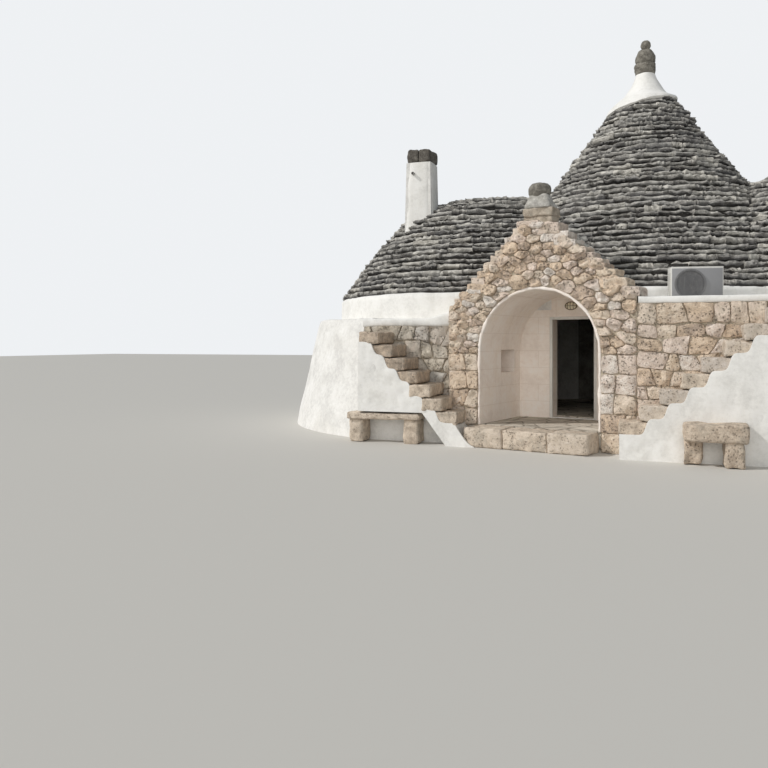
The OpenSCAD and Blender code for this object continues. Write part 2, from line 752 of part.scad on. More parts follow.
// unit on the terrace
module at_unit() { translate([unit_x, unit_y, right_wall_z]) rotate([0, 0, unit_turn]) children(); }
module unit_case() color("#e8e6df") at_unit() union() {
  block(0, 0, unit_foot, unit_w, unit_d, unit_h);
  block(60, 0, 0, 120, unit_d, unit_foot);
  block(unit_w - 120, 0, 0, unit_w - 60, unit_d, unit_foot);
}
module unit_fan() color("#6f6f6d")
  at_unit() translate([fan_r + 50, 0, (unit_h + unit_foot) / 2]) rotate([90, 0, 0])
    difference() {
      cylinder(r = fan_r, h = 20, $fn = 96);
      translate([0, 0, -1]) cylinder(r = fan_r - 25, h = 22, $fn = 96);
    }

room_floor();
main_wall_back();
main_wall_front();
left_wall_front();
left_wall_back();
right_wall_front();
right_wall_back();
left_wing_wall();
left_coping();
right_wing_wall();
right_coping();
main_band();
left_band();
right_band();
main_roof_front();
main_roof_back();
left_roof();
right_roof();
main_cap();
pinnacle_drum();
pinnacle_bulb();
pinnacle_ball();
porch_left_pier();
porch_right_pier();
porch_gable();
porch_haunch();
porch_roof();
porch_lining();
porch_floor();
porch_step();
door_wall();
finial_plinth();
finial_collar();
finial_dome();
door_frame();
door_leaf();
door_hinges();
door_lamp();
left_treads();
left_stair_base();
right_treads();
right_stair_base();
right_bench();
left_bench();
chimney_stack();
chimney_cap();
chimney_pipe();
unit_case();
unit_fan();
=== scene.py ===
import bpy
import numpy as np
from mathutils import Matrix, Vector


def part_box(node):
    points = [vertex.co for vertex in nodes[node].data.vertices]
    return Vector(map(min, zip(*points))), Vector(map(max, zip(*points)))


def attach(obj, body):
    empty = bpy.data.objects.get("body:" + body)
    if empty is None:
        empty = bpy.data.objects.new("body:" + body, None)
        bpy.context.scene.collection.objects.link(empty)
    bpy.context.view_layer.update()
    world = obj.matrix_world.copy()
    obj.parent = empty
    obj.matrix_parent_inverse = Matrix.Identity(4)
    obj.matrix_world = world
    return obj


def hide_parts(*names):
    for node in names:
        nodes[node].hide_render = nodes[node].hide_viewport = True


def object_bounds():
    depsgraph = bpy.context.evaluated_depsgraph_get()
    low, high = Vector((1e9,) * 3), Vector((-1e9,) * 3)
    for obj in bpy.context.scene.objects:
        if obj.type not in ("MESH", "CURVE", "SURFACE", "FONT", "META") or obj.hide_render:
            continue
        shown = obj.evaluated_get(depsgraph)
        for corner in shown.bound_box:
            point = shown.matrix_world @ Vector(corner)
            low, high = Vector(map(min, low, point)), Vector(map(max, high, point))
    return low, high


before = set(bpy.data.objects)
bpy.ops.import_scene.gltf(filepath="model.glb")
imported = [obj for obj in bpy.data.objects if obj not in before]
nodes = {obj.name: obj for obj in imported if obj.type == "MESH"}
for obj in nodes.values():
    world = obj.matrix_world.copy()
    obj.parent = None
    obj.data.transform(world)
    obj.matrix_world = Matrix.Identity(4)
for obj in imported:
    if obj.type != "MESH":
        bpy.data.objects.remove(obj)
cadLow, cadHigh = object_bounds()
print("frame loaded with", len(nodes), "nodes")

# Places that the solids share, in metres: x along the front walls, y inward, z up
house = {
    "leftCentre": np.array([-2.95, -0.2]),
    "rightCentre": np.array([2.95, -0.2]),
    "mainProfile": [(3.53, 2.4), (1.64, 4.60), (0.90, 5.60), (0.49, 6.23)],
    "courseHeight": 0.10,
    "courseAt": 0.035,
    "leftProfile": [(3.05, 2.4), (2.36, 3.32), (1.85, 3.87), (1.11, 4.29), (0.5, 4.36)],
    "rightProfile": [(3.05, 2.4), (2.36, 3.32), (1.85, 3.87), (1.11, 4.39), (0.5, 4.55)],
    "porchCorner": np.array([-1.470, -4.074]),
    "porchTurn": -13.0,
    "porchHalf": 1.49,
    "nicheRadius": 0.98,
    "springZ": 1.455,
    "nicheDepth": 1.604,
    "gableLine": [(-1.49, 2.10), (-0.245, 3.42), (0.185, 3.42), (1.49, 2.31)],
    "roofDrop": 0.13,
    "roofEnd": 2.30,
}
turn = np.radians(house["porchTurn"])
porchX = np.array([np.cos(turn), np.sin(turn), 0.0])
porchY = np.array([-np.sin(turn), np.cos(turn), 0.0])
upward = np.array([0.0, 0.0, 1.0])


# Helpers for places
def porchPoint(x, y, z):
    # a point given along, into and above the porch
    x, y, z = np.broadcast_arrays(np.asarray(x, float), y, z)
    corner = np.append(house["porchCorner"], 0.0)
    return corner + x[..., None] * porchX + y[..., None] * porchY + z[..., None] * upward


def inPorch(points):
    # the porch's own x, y and z of world points
    away = points - np.append(house["porchCorner"], 0.0)
    return away @ porchX, away @ porchY, points[..., 2]


def profileRadius(profile, z):
    # the cone's radius at a height, by straight lines between the profile's points
    radii, heights = np.array(profile).T
    return np.interp(z, heights, radii)


def insideCone(points, centre, profile, margin):
    # nearer to the axis than the cone's radius less a margin, and below its top
    reach = np.hypot(points[..., 0] - centre[0], points[..., 1] - centre[1])
    return (reach < profileRadius(profile, points[..., 2]) - margin) & (points[..., 2] < profile[-1][1])


def gableHeight(x):
    # the upper edge of the gable above a place along the porch
    across, heights = np.array(house["gableLine"]).T
    return np.interp(x, across, heights)


def insidePorch(points, margin):
    # within the porch's width and depth, and lower than its roof line less a margin
    x, y, z = inPorch(points)
    line = gableHeight(x) - np.where(y > 0.4, house["roofDrop"], 0.0)
    within = (abs(x) < house["porchHalf"]) & (y > 0) & (y < house["roofEnd"])
    return within & (z < line - margin)


# Value noise: random numbers at whole-number points, blended between them by a smooth step
def latticeNoise(points, seed):
    cell = np.floor(points).astype(np.int64)
    blend = points - cell
    blend = blend * blend * (3 - 2 * blend)
    total = np.zeros(points.shape[:-1])
    for dx in (0, 1):
        for dy in (0, 1):
            for dz in (0, 1):
                key = ((cell[..., 0] + dx) * 73856093) ^ ((cell[..., 1] + dy) * 19349663)
                key ^= ((cell[..., 2] + dz) * 83492791) ^ (seed * 9176263)
                key = ((key ^ (key >> 13)) * 1274126177) & 0x7FFFFFFF
                key = (key ^ (key >> 15)) & 0xFFFF
                share = np.abs(1 - dx - blend[..., 0]) * np.abs(1 - dy - blend[..., 1])
                total += share * np.abs(1 - dz - blend[..., 2]) * (key / 32767.5 - 1)
    return total


def rough(points, size, seed, octaves=3):
    # noise in layers, each half as large and half as strong as the last
    total = 0.0
    for layer in range(octaves):
        total = total + latticeNoise(points / size * 2 ** layer, seed + layer) / 2 ** layer
    return total


def roughVector(points, size, seed, octaves=2):
    # the same noise three times over, as a shift in x, y and z
    return np.stack([rough(points, size, seed + 17 * k, octaves) for k in range(3)], -1)


def addObject(name, data):
    # a new object with this data, placed in the scene
    thing = bpy.data.objects.new(name, data)
    bpy.context.scene.collection.objects.link(thing)
    return thing


# Mesh makers: one piece from its corners and faces, held inside the solids' box, with the faces
# turned over where the volume under them (the sum of a . (b x c)) comes out negative
def makePiece(name, verts, polys, material, slotName, body="house", replaces=(), sharp=0.9, **marks):
    verts = np.clip(np.asarray(verts, float).reshape(-1, 3), cadLow, cadHigh)
    polys = [p.reshape(-1, p.shape[-1]) for p in polys if len(p)]
    used, place = np.unique(np.concatenate([p.ravel() for p in polys]), return_inverse=True)
    marks = {key: np.asarray(mark, float).ravel()[used] for key, mark in marks.items()}
    verts = verts[used]
    split = np.cumsum([p.size for p in polys])[:-1]
    polys = [part.reshape(p.shape) for part, p in zip(np.split(place.ravel(), split), polys)]
    volume = 0.0                                  # negative where the faces point inwards
    for p in polys:
        for k in range(1, p.shape[1] - 1):
            a, b, c = verts[p[:, 0]], verts[p[:, k]], verts[p[:, k + 1]]
            volume += np.einsum("ij,ij->i", a, np.cross(b, c)).sum()
    if volume < 0:
        polys = [p[:, ::-1] for p in polys]
    mesh = bpy.data.meshes.new(name)
    mesh.vertices.add(len(verts))
    mesh.vertices.foreach_set("co", verts.astype(np.float32).ravel())
    counts = np.concatenate([np.full(len(p), p.shape[1]) for p in polys])
    corners = np.concatenate([p.ravel() for p in polys]).astype(np.int32)
    mesh.loops.add(len(corners))
    mesh.loops.foreach_set("vertex_index", corners)
    mesh.polygons.add(len(counts))
    mesh.polygons.foreach_set("loop_start", (np.cumsum(counts) - counts).astype(np.int32))
    mesh.update(calc_edges=True)
    mesh.validate()
    for key, mark in marks.items():
        mesh.attributes.new(key, "FLOAT", "POINT").data.foreach_set("value", mark.astype(np.float32))
    mesh.shade_smooth()
    mesh.set_sharp_from_angle(angle=sharp)
    piece = addObject(name, mesh)
    mesh.materials.append(material)
    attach(piece, body)
    if replaces:
        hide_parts(*replaces)
    return piece


# A plate: an outer and an inner sheet on one grid, joined round every rim of the cells that are kept
def plate(outer, inner, keep=None, wrap=False):
    nu, nv = outer.shape[:2]
    ids = np.arange(nu * nv).reshape(nu, nv)
    if wrap:
        ids = np.vstack([ids, ids[:1]])
    cells = np.ones((ids.shape[0] - 1, nv - 1), bool) if keep is None else keep
    a, b, c, d = ids[:-1, :-1], ids[1:, :-1], ids[1:, 1:], ids[:-1, 1:]
    back = nu * nv
    quads = [np.stack([a, b, c, d], -1)[cells], np.stack([d, c, b, a], -1)[cells] + back]
    padded = np.pad(cells, ((0, 0), (1, 1)))
    if wrap:
        padded = np.concatenate([padded[-1:], padded, padded[:1]])
    else:
        padded = np.pad(padded, ((1, 1), (0, 0)))
    for near, far, shift in ((a, b, (1, 0)), (b, c, (2, 1)), (c, d, (1, 2)), (d, a, (0, 1))):
        beside = padded[shift[0]:shift[0] + cells.shape[0], shift[1]:shift[1] + cells.shape[1]]
        rim = cells & ~beside
        quads.append(np.stack([far, near, near + back, far + back], -1)[rim])
    return np.concatenate([outer.reshape(-1, 3), inner.reshape(-1, 3)]), quads


# A bar: closed outlines carried along a path, with a flat end at both sides
def bar(sections):
    n, k = sections.shape[:2]
    ids = np.arange(n * k).reshape(n, k)
    side = np.roll(ids, -1, axis=1)
    quads = np.stack([ids[:-1], ids[1:], side[1:], side[:-1]], -1).reshape(-1, 4)
    return sections.reshape(-1, 3), [quads, ids[:1, :], ids[-1:, ::-1]]


# A hoop: closed outlines carried round a closed path, so that both ways run round
def hoop(sections):
    n, k = sections.shape[:2]
    ids = np.arange(n * k).reshape(n, k)
    ahead = np.roll(ids, -1, axis=0)
    quads = np.stack([ids, ahead, np.roll(ahead, -1, 1), np.roll(ids, -1, 1)], -1)
    return sections.reshape(-1, 3), [quads.reshape(-1, 4)]


def together(parts):
    # several meshes as one: the corners one after another, and the faces counted on
    verts, polys, total = [], [], 0
    for points, faces in parts:
        verts.append(points.reshape(-1, 3))
        polys += [face + total for face in faces]
        total += len(verts[-1])
    return np.concatenate(verts), polys


def softSquare(turns, power):
    # a ring between a circle and a square: sine and cosine, each raised to a power below one
    return np.stack([np.sign(np.cos(turns)) * np.abs(np.cos(turns)) ** power,
                     np.sign(np.sin(turns)) * np.abs(np.sin(turns)) ** power], -1)


def fullTurn(count):
    # angles at even steps round a full turn
    return np.linspace(0, 2 * np.pi, count, endpoint=False)


# A turned form: rings of the profile's radii round an axis, closed by a point at both ends
def turned(profile, centre, count, relief):
    radii, heights = np.array(profile, float).T
    angle = fullTurn(count)
    ring = np.stack([np.cos(angle), np.sin(angle)], -1)
    body = np.concatenate([radii[1:-1, None, None] * ring[None], np.broadcast_to(
        heights[1:-1, None, None], (len(radii) - 2, count, 1))], -1)
    body = body + np.array([centre[0], centre[1], 0.0])
    body = relief(body)
    ends = np.array([[centre[0], centre[1], heights[0]], [centre[0], centre[1], heights[-1]]])
    n = len(radii) - 2
    ids = np.arange(n * count).reshape(n, count)
    side = np.roll(ids, -1, axis=1)
    quads = np.stack([ids[:-1], side[:-1], side[1:], ids[1:]], -1).reshape(-1, 4)
    first = np.stack([side[0], ids[0], np.full(count, n * count)], -1)
    last = np.stack([ids[-1], side[-1], np.full(count, n * count + 1)], -1)
    return np.concatenate([body.reshape(-1, 3), ends]), [quads, first, last]


def cubeGrid(n):
    # whole-number points on the skin of a cube, n cells a side, and its outward quads
    step = np.arange(n + 1)
    points, quads = [], []
    for axis in range(3):
        for side in (0, n):
            grid = np.zeros((n + 1, n + 1, 3), int)
            grid[..., axis] = side
            grid[..., (axis + 1) % 3] = step[:, None]
            grid[..., (axis + 2) % 3] = step[None, :]
            ids = np.arange((n + 1) ** 2).reshape(n + 1, n + 1) + len(points) * (n + 1) ** 2
            quad = np.stack([ids[:-1, :-1], ids[1:, :-1], ids[1:, 1:], ids[:-1, 1:]], -1)
            points.append(grid.reshape(-1, 3))
            quads.append(quad.reshape(-1, 4)[:, ::-1] if side == 0 else quad.reshape(-1, 4))
    unique, place = np.unique(np.concatenate(points), axis=0, return_inverse=True)
    return unique, place.ravel()[np.concatenate(quads)]


# Rounded blocks: a cube grid stretched to each half size, its edges rounded to the radius,
# then every point moved by noise that has the grain of broken stone
def blocks(centres, halves, axes, radius, seed, grid=4, relief=0.01, size=0.12):
    lattice, quads = cubeGrid(grid)
    centres, halves = np.asarray(centres, float), np.asarray(halves, float)
    count = len(centres)
    radius = np.minimum(radius, halves.min(axis=1) * 0.9)[:, None, None]
    share = np.broadcast_to(lattice[None] / grid * 2 - 1, (count,) + lattice.shape)
    edge = 1 - radius / halves[:, None, :]        # where the rounding starts, as a share of the half size
    near = (lattice[None] == 1) | (lattice[None] == grid - 1)
    share = np.where(near, np.sign(share) * np.maximum(edge, abs(share)), share)
    local = share * halves[:, None, :]
    core = np.clip(local, -(halves[:, None, :] - radius), halves[:, None, :] - radius)
    away = local - core
    length = np.linalg.norm(away, axis=-1, keepdims=True)
    local = core + np.where(length > 0, away / np.maximum(length, 1e-9) * radius, 0)
    axes = np.broadcast_to(np.asarray(axes, float), (count, 3, 3))
    world = np.einsum("nvi,nij->nvj", local, axes) + centres[:, None, :]
    world = world + roughVector(world, size, seed) * relief
    ids = quads[None] + (np.arange(count) * len(lattice))[:, None, None]
    return world, [ids.reshape(-1, 4)]


def squareAxes(angle=0.0):
    # three axes at right angles, turned about z
    c, s = np.cos(angle), np.sin(angle)
    return np.array([[c, s, 0], [-s, c, 0], [0, 0, 1.0]])


# Materials
def addNode(tree, kind, **values):
    # a shader node; each value goes to the socket of its name, or else to the node's own setting
    node = tree.nodes.new(kind)
    for key, value in values.items():
        if key in node.inputs:
            node.inputs[key].default_value = value
        else:
            setattr(node, key, value)
    return node


def makeGroup(name, inputs, outputs):
    # an empty node group with these sockets
    group = bpy.data.node_groups.new(name, "ShaderNodeTree")
    for label, value in inputs.items():
        group.interface.new_socket(label, in_out="INPUT", socket_type="NodeSocketFloat").default_value = value
    for label in outputs:
        group.interface.new_socket(label, in_out="OUTPUT", socket_type="NodeSocketFloat")
    return group, group.nodes.new("NodeGroupInput"), group.nodes.new("NodeGroupOutput")


def threshold(tree, source, low, high):
    # 0 below the low value, 1 above the high one, with a soft step between
    ramp = addNode(tree, "ShaderNodeMapRange", interpolation_type="SMOOTHSTEP",
                   **{"From Min": low, "From Max": high})
    tree.links.new(source, ramp.inputs["Value"])
    return ramp.outputs["Result"]


def mathNode(tree, operation, first, second):
    # one sum on two numbers or sockets
    node = addNode(tree, "ShaderNodeMath", operation=operation)
    for socket, value in zip(node.inputs, (first, second)):
        if hasattr(value, "default_value"):
            tree.links.new(value, socket)
        else:
            socket.default_value = value
    return node.outputs[0]


def buildGrain():
    # broken stone: coarse lumps, fine grit and small pits, in cells per metre
    group, given, result = makeGroup("stone grain", {"Scale": 6.0, "Pits": 0.4}, ("Tone", "Height", "Holes"))
    place = addNode(group, "ShaderNodeTexCoord")
    coarse = addNode(group, "ShaderNodeTexNoise", Detail=6.0, Roughness=0.62)
    fine = addNode(group, "ShaderNodeTexNoise", Detail=8.0, Roughness=0.7)
    pits = addNode(group, "ShaderNodeTexVoronoi")
    for node, factor in ((coarse, 1.0), (fine, 6.0), (pits, 3.0)):
        group.links.new(place.outputs["Object"], node.inputs["Vector"])
        group.links.new(mathNode(group, "MULTIPLY", given.outputs["Scale"], factor), node.inputs["Scale"])
    ragged = mathNode(group, "ADD", pits.outputs["Distance"],
                      mathNode(group, "MULTIPLY", fine.outputs["Fac"], 0.9))
    hole = threshold(group, ragged, 0.48, 0.82)
    hole = mathNode(group, "MULTIPLY", mathNode(group, "SUBTRACT", 1.0, hole), given.outputs["Pits"])
    hole = mathNode(group, "MULTIPLY", hole, threshold(group, coarse.outputs["Fac"], 0.60, 0.42))
    height = mathNode(group, "ADD", mathNode(group, "MULTIPLY", coarse.outputs["Fac"], 0.7),
                      mathNode(group, "MULTIPLY", fine.outputs["Fac"], 0.3))
    group.links.new(hole, result.inputs["Holes"])
    group.links.new(mathNode(group, "SUBTRACT", height, hole), result.inputs["Height"])
    tone = mathNode(group, "ADD", mathNode(group, "MULTIPLY", coarse.outputs["Fac"], 0.55),
                    mathNode(group, "MULTIPLY", fine.outputs["Fac"], 0.45))
    group.links.new(threshold(group, tone, 0.33, 0.67), result.inputs["Tone"])
    return group


def buildWeather():
    # streaks that run down, broad patches, and lichen specks
    group, given, result = makeGroup("weathering", {"Scale": 1.0}, ("Streaks", "Patches", "Specks", "Up"))
    place = addNode(group, "ShaderNodeTexCoord")
    stretch = addNode(group, "ShaderNodeMapping")
    stretch.inputs["Scale"].default_value = (5.0, 5.0, 0.55)
    streaks = addNode(group, "ShaderNodeTexNoise", Detail=5.0, Roughness=0.6)
    patches = addNode(group, "ShaderNodeTexNoise", Detail=7.0, Roughness=0.62)
    specks = addNode(group, "ShaderNodeTexVoronoi")
    ragged = addNode(group, "ShaderNodeTexNoise", Detail=4.0)
    group.links.new(place.outputs["Object"], stretch.inputs["Vector"])
    group.links.new(stretch.outputs["Vector"], streaks.inputs["Vector"])
    for node, factor in ((streaks, 1.0), (patches, 1.6), (specks, 22.0), (ragged, 5.0)):
        if node is not streaks:
            group.links.new(place.outputs["Object"], node.inputs["Vector"])
        group.links.new(mathNode(group, "MULTIPLY", given.outputs["Scale"], factor), node.inputs["Scale"])
    group.links.new(threshold(group, streaks.outputs["Fac"], 0.52, 0.72), result.inputs["Streaks"])
    group.links.new(threshold(group, patches.outputs["Fac"], 0.5, 0.68), result.inputs["Patches"])
    spot = mathNode(group, "SUBTRACT", 1.0, threshold(group, specks.outputs["Distance"], 0.12, 0.34))
    spot = mathNode(group, "MULTIPLY", spot, threshold(group, ragged.outputs["Fac"], 0.45, 0.62))
    group.links.new(spot, result.inputs["Specks"])
    facing = addNode(group, "ShaderNodeNewGeometry")
    split = addNode(group, "ShaderNodeSeparateXYZ")
    group.links.new(facing.outputs["Normal"], split.inputs["Vector"])
    group.links.new(threshold(group, split.outputs["Z"], 0.1, 0.8), result.inputs["Up"])
    return group


grainGroup = buildGrain()
weatherGroup = buildWeather()


def colourRamp(tree, source, colours):
    # colours at even steps from 0 to 1
    ramp = addNode(tree, "ShaderNodeValToRGB")
    steps = ramp.color_ramp.elements
    while len(steps) < len(colours):
        steps.new(0.5)
    for place, (step, colour) in enumerate(zip(steps, colours)):
        step.position = place / (len(colours) - 1)
        step.color = (*colour, 1.0)
    tree.links.new(source, ramp.inputs["Fac"])
    return ramp.outputs["Color"]


def mixColour(tree, factor, base, colour):
    # the base with a second colour laid over it by the factor
    mix = addNode(tree, "ShaderNodeMix", data_type="RGBA")
    tree.links.new(factor, mix.inputs[0])
    tree.links.new(base, mix.inputs[6])
    if hasattr(colour, "default_value"):
        tree.links.new(colour, mix.inputs[7])
    else:
        mix.inputs[7].default_value = (*colour, 1.0)
    return mix.outputs[2]


def newMaterial(name, grain, pits, weather):
    # a surface joined to the output, with the grain and weather groups beside it
    material = bpy.data.materials.new(name)
    material.use_nodes = True
    tree = material.node_tree
    tree.nodes.clear()
    output = addNode(tree, "ShaderNodeOutputMaterial")
    surface = addNode(tree, "ShaderNodeBsdfPrincipled")
    tree.links.new(surface.outputs["BSDF"], output.inputs["Surface"])
    stone = addNode(tree, "ShaderNodeGroup", node_tree=grainGroup, Scale=grain, Pits=pits)
    wear = addNode(tree, "ShaderNodeGroup", node_tree=weatherGroup, Scale=weather)
    return material, tree, surface, stone, wear


def shineAndBump(tree, surface, stone, shine, height, strength, distance):
    # roughness between two values by the tone of the grain, and the height as bump
    gloss = addNode(tree, "ShaderNodeMapRange", **{"To Min": shine[0], "To Max": shine[1]})
    tree.links.new(stone.outputs["Tone"], gloss.inputs["Value"])
    tree.links.new(gloss.outputs["Result"], surface.inputs["Roughness"])
    bump = addNode(tree, "ShaderNodeBump", Strength=strength, Distance=distance)
    tree.links.new(height, bump.inputs["Height"])
    tree.links.new(bump.outputs["Normal"], surface.inputs["Normal"])


# A mineral finish: a ramp of its colours over the tone of each stone or of the grain, painted shade at the
# rims and a painted highlight on the lit corners of marked stones, then streaks, patches, specks and lighter
# upper faces laid over it, and the grain as bump
def mineral(name, colours, perStone=False, grain=6.0, pits=0.3, weather=1.0, layers=(), bump=0.5,
            depth=0.01, shine=(0.8, 0.95), shade=0.25, pattern=None, rimShade=0.75,
            edge=((0.16, 0.12, 0.085), (0.84, 0.76, 0.62))):
    material, tree, surface, stone, wear = newMaterial(name, grain, pits, weather)
    surface.inputs["Specular IOR Level"].default_value = 0.25
    tone = stone.outputs["Tone"]
    if perStone:                                  # the marks that makePiece writes on every corner
        given, rim, litHighlight = (addNode(tree, "ShaderNodeAttribute", attribute_name=key).outputs["Fac"]
                              for key in ("tone", "rim", "lit"))
        soft = mathNode(tree, "MULTIPLY", mathNode(tree, "SUBTRACT", stone.outputs["Tone"], 0.5), 0.35)
        tone = mathNode(tree, "ADD", given, soft)
    colour = colourRamp(tree, tone, colours)
    dark = mathNode(tree, "MULTIPLY", mathNode(tree, "SUBTRACT", 1.0, stone.outputs["Tone"]), shade)
    dark = mathNode(tree, "MAXIMUM", dark, mathNode(tree, "MULTIPLY", stone.outputs["Holes"], 0.55))
    colour = mixColour(tree, dark, colour, (0.12, 0.10, 0.08))
    if perStone:
        # painted shade: the rim mark darkens a stone by its joints and a slab under and behind, to the first
        # edge colour, as strongly as rimShade
        colour = mixColour(tree, mathNode(tree, "MULTIPLY", rim, rimShade), colour, edge[0])
        # painted highlight: the lit mark lightens the upper nose of a slab to the second edge colour
        colour = mixColour(tree, mathNode(tree, "MULTIPLY", litHighlight, stone.outputs["Tone"]), colour, edge[1])
    for mask, tint, amount in layers:
        factor = mathNode(tree, "MULTIPLY", wear.outputs[mask], amount)
        colour = mixColour(tree, factor, colour, tint)
    height = stone.outputs["Height"]
    if pattern is not None:
        colour, height = pattern(tree, colour, height)
    tree.links.new(colour, surface.inputs["Base Color"])
    shineAndBump(tree, surface, stone, shine, height, bump, depth)
    return material


def blockJoints(width, height, tint, amount):
    # faint joints of squared blocks under the plaster, laid along (x + y) and z
    def pattern(tree, colour, bumpHeight):
        place = addNode(tree, "ShaderNodeTexCoord")
        split = addNode(tree, "ShaderNodeSeparateXYZ")
        tree.links.new(place.outputs["Object"], split.inputs["Vector"])
        join = addNode(tree, "ShaderNodeCombineXYZ")
        tree.links.new(mathNode(tree, "ADD", split.outputs["X"], split.outputs["Y"]), join.inputs["X"])
        tree.links.new(split.outputs["Z"], join.inputs["Y"])
        brick = addNode(tree, "ShaderNodeTexBrick", Scale=1.0, **{
            "Brick Width": width, "Row Height": height, "Mortar Size": 0.006, "Mortar Smooth": 0.6})
        tree.links.new(join.outputs["Vector"], brick.inputs["Vector"])
        factor = mathNode(tree, "MULTIPLY", brick.outputs["Fac"], amount)
        groove = mathNode(tree, "SUBTRACT", bumpHeight, mathNode(tree, "MULTIPLY", brick.outputs["Fac"], 0.5))
        return mixColour(tree, factor, colour, tint), groove
    return pattern


def flagstones(scale, tint):
    # irregular flags: dark joints along the edges of random cells, each cell its own shade
    def pattern(tree, colour, bumpHeight):
        place = addNode(tree, "ShaderNodeTexCoord")
        edge = addNode(tree, "ShaderNodeTexVoronoi", feature="DISTANCE_TO_EDGE", Scale=scale)
        cell = addNode(tree, "ShaderNodeTexVoronoi", Scale=scale)
        tree.links.new(place.outputs["Object"], edge.inputs["Vector"])
        tree.links.new(place.outputs["Object"], cell.inputs["Vector"])
        joint = mathNode(tree, "SUBTRACT", 1.0, threshold(tree, edge.outputs["Distance"], 0.01, 0.05))
        split = addNode(tree, "ShaderNodeSeparateColor")
        tree.links.new(cell.outputs["Color"], split.inputs["Color"])
        own = mathNode(tree, "MULTIPLY", split.outputs["Red"], 0.35)
        colour = mixColour(tree, own, colour, (0.40, 0.34, 0.26))
        lowered = mathNode(tree, "SUBTRACT", bumpHeight, mathNode(tree, "MULTIPLY", joint, 0.8))
        return mixColour(tree, joint, colour, tint), lowered
    return pattern


limewash = mineral("limewash", [(0.80, 0.79, 0.76), (0.90, 0.89, 0.86), (0.93, 0.92, 0.90)], grain=3.0,
                   pits=0.12, weather=0.8, shade=0.04, bump=0.45, depth=0.012,
                   layers=(("Streaks", (0.66, 0.64, 0.59), 0.22), ("Patches", (0.80, 0.77, 0.70), 0.15)))
wallLimewash = mineral("wall limewash", [(0.72, 0.71, 0.69), (0.84, 0.83, 0.80), (0.90, 0.89, 0.87)],
                       grain=2.6, pits=0.2, weather=0.6, shade=0.10, bump=0.6, depth=0.02,
                       layers=(("Streaks", (0.56, 0.55, 0.52), 0.32), ("Patches", (0.74, 0.71, 0.65), 0.22)))
nichePlaster = mineral("niche plaster", [(0.88, 0.79, 0.72), (0.95, 0.87, 0.80), (0.96, 0.91, 0.86)],
                       grain=2.5, pits=0.1, weather=1.4, shade=0.04, bump=0.3, depth=0.008,
                       layers=(("Patches", (0.88, 0.76, 0.63), 0.28), ("Streaks", (0.82, 0.75, 0.69), 0.22)),
                       pattern=blockJoints(0.48, 0.29, (0.70, 0.60, 0.51), 0.40))
# its first edge colour, at rimShade, is painted shade round each stone by the joints
rubbleStone = mineral("rubble stone", [(0.64, 0.51, 0.41), (0.90, 0.71, 0.53), (0.96, 0.83, 0.68),
                                       (0.93, 0.77, 0.66), (0.97, 0.90, 0.82)], perStone=True, grain=8.0,
                      pits=0.7, weather=2.6, shade=0.40, bump=1.0, depth=0.06, rimShade=0.42,
                      layers=(("Patches", (0.72, 0.60, 0.51), 0.34), ("Specks", (0.42, 0.36, 0.29), 0.42)),
                      edge=((0.40, 0.32, 0.25), (0.97, 0.90, 0.80)))
# its first edge colour, at rimShade, is painted shade round each stone by the joints
greyRubble = mineral("grey rubble", [(0.50, 0.46, 0.40), (0.70, 0.62, 0.50), (0.82, 0.75, 0.64),
                                     (0.78, 0.69, 0.60), (0.66, 0.63, 0.58)], perStone=True, grain=9.0,
                     pits=0.9, weather=2.2, shade=0.46, bump=1.0, depth=0.05, rimShade=0.5,
                     layers=(("Patches", (0.50, 0.47, 0.43), 0.5), ("Specks", (0.34, 0.31, 0.27), 0.6)),
                     edge=((0.32, 0.27, 0.21), (0.86, 0.80, 0.69)))
rubbleMortar = mineral("rubble mortar", [(0.42, 0.35, 0.26), (0.62, 0.53, 0.41), (0.76, 0.67, 0.54)],
                       grain=14.0, pits=0.6, weather=2.0, shade=0.35, bump=1.0, depth=0.04,
                       layers=(("Patches", (0.34, 0.28, 0.22), 0.45),))
# its edge colours are a near-black painted shade and a pale painted highlight
slateStone = mineral("roof slate", [(0.06, 0.06, 0.066), (0.15, 0.15, 0.156), (0.29, 0.288, 0.28),
                                    (0.62, 0.60, 0.55)], perStone=True, grain=9.0, pits=0.22, weather=1.7,
                     shade=0.50, bump=1.0, depth=0.04,
                     layers=(("Patches", (0.12, 0.12, 0.125), 0.50), ("Specks", (0.82, 0.79, 0.72), 0.45),
                             ("Up", (0.66, 0.64, 0.59), 0.22)),
                     edge=((0.012, 0.012, 0.013), (0.82, 0.79, 0.72)))
# painted shade: the bed under the slabs is near black, so that the gaps between the courses read as shadowed
# grooves
shadedSlateBed = mineral("shaded slate bed", [(0.015, 0.015, 0.016), (0.04, 0.04, 0.04), (0.08, 0.078, 0.074)], grain=16.0,
                   bump=1.0, depth=0.04, shade=0.4)
roomStone = mineral("room stone", [(0.22, 0.20, 0.18), (0.34, 0.32, 0.29), (0.42, 0.40, 0.36)], grain=4.0)
sootStone = mineral("soot stone", [(0.06, 0.055, 0.05), (0.14, 0.13, 0.115), (0.26, 0.24, 0.21)], grain=14.0,
                    pits=0.5, weather=4.0, shade=0.35, bump=0.9, depth=0.02,
                    layers=(("Specks", (0.45, 0.42, 0.36), 0.5),))
pinnacleStone = mineral("pinnacle stone", [(0.12, 0.115, 0.10), (0.24, 0.225, 0.195), (0.37, 0.35, 0.305)],
                        grain=14.0, pits=0.5, weather=4.0, shade=0.35, bump=0.9, depth=0.02,
                        layers=(("Patches", (0.16, 0.15, 0.13), 0.45), ("Specks", (0.66, 0.62, 0.53), 0.5)))
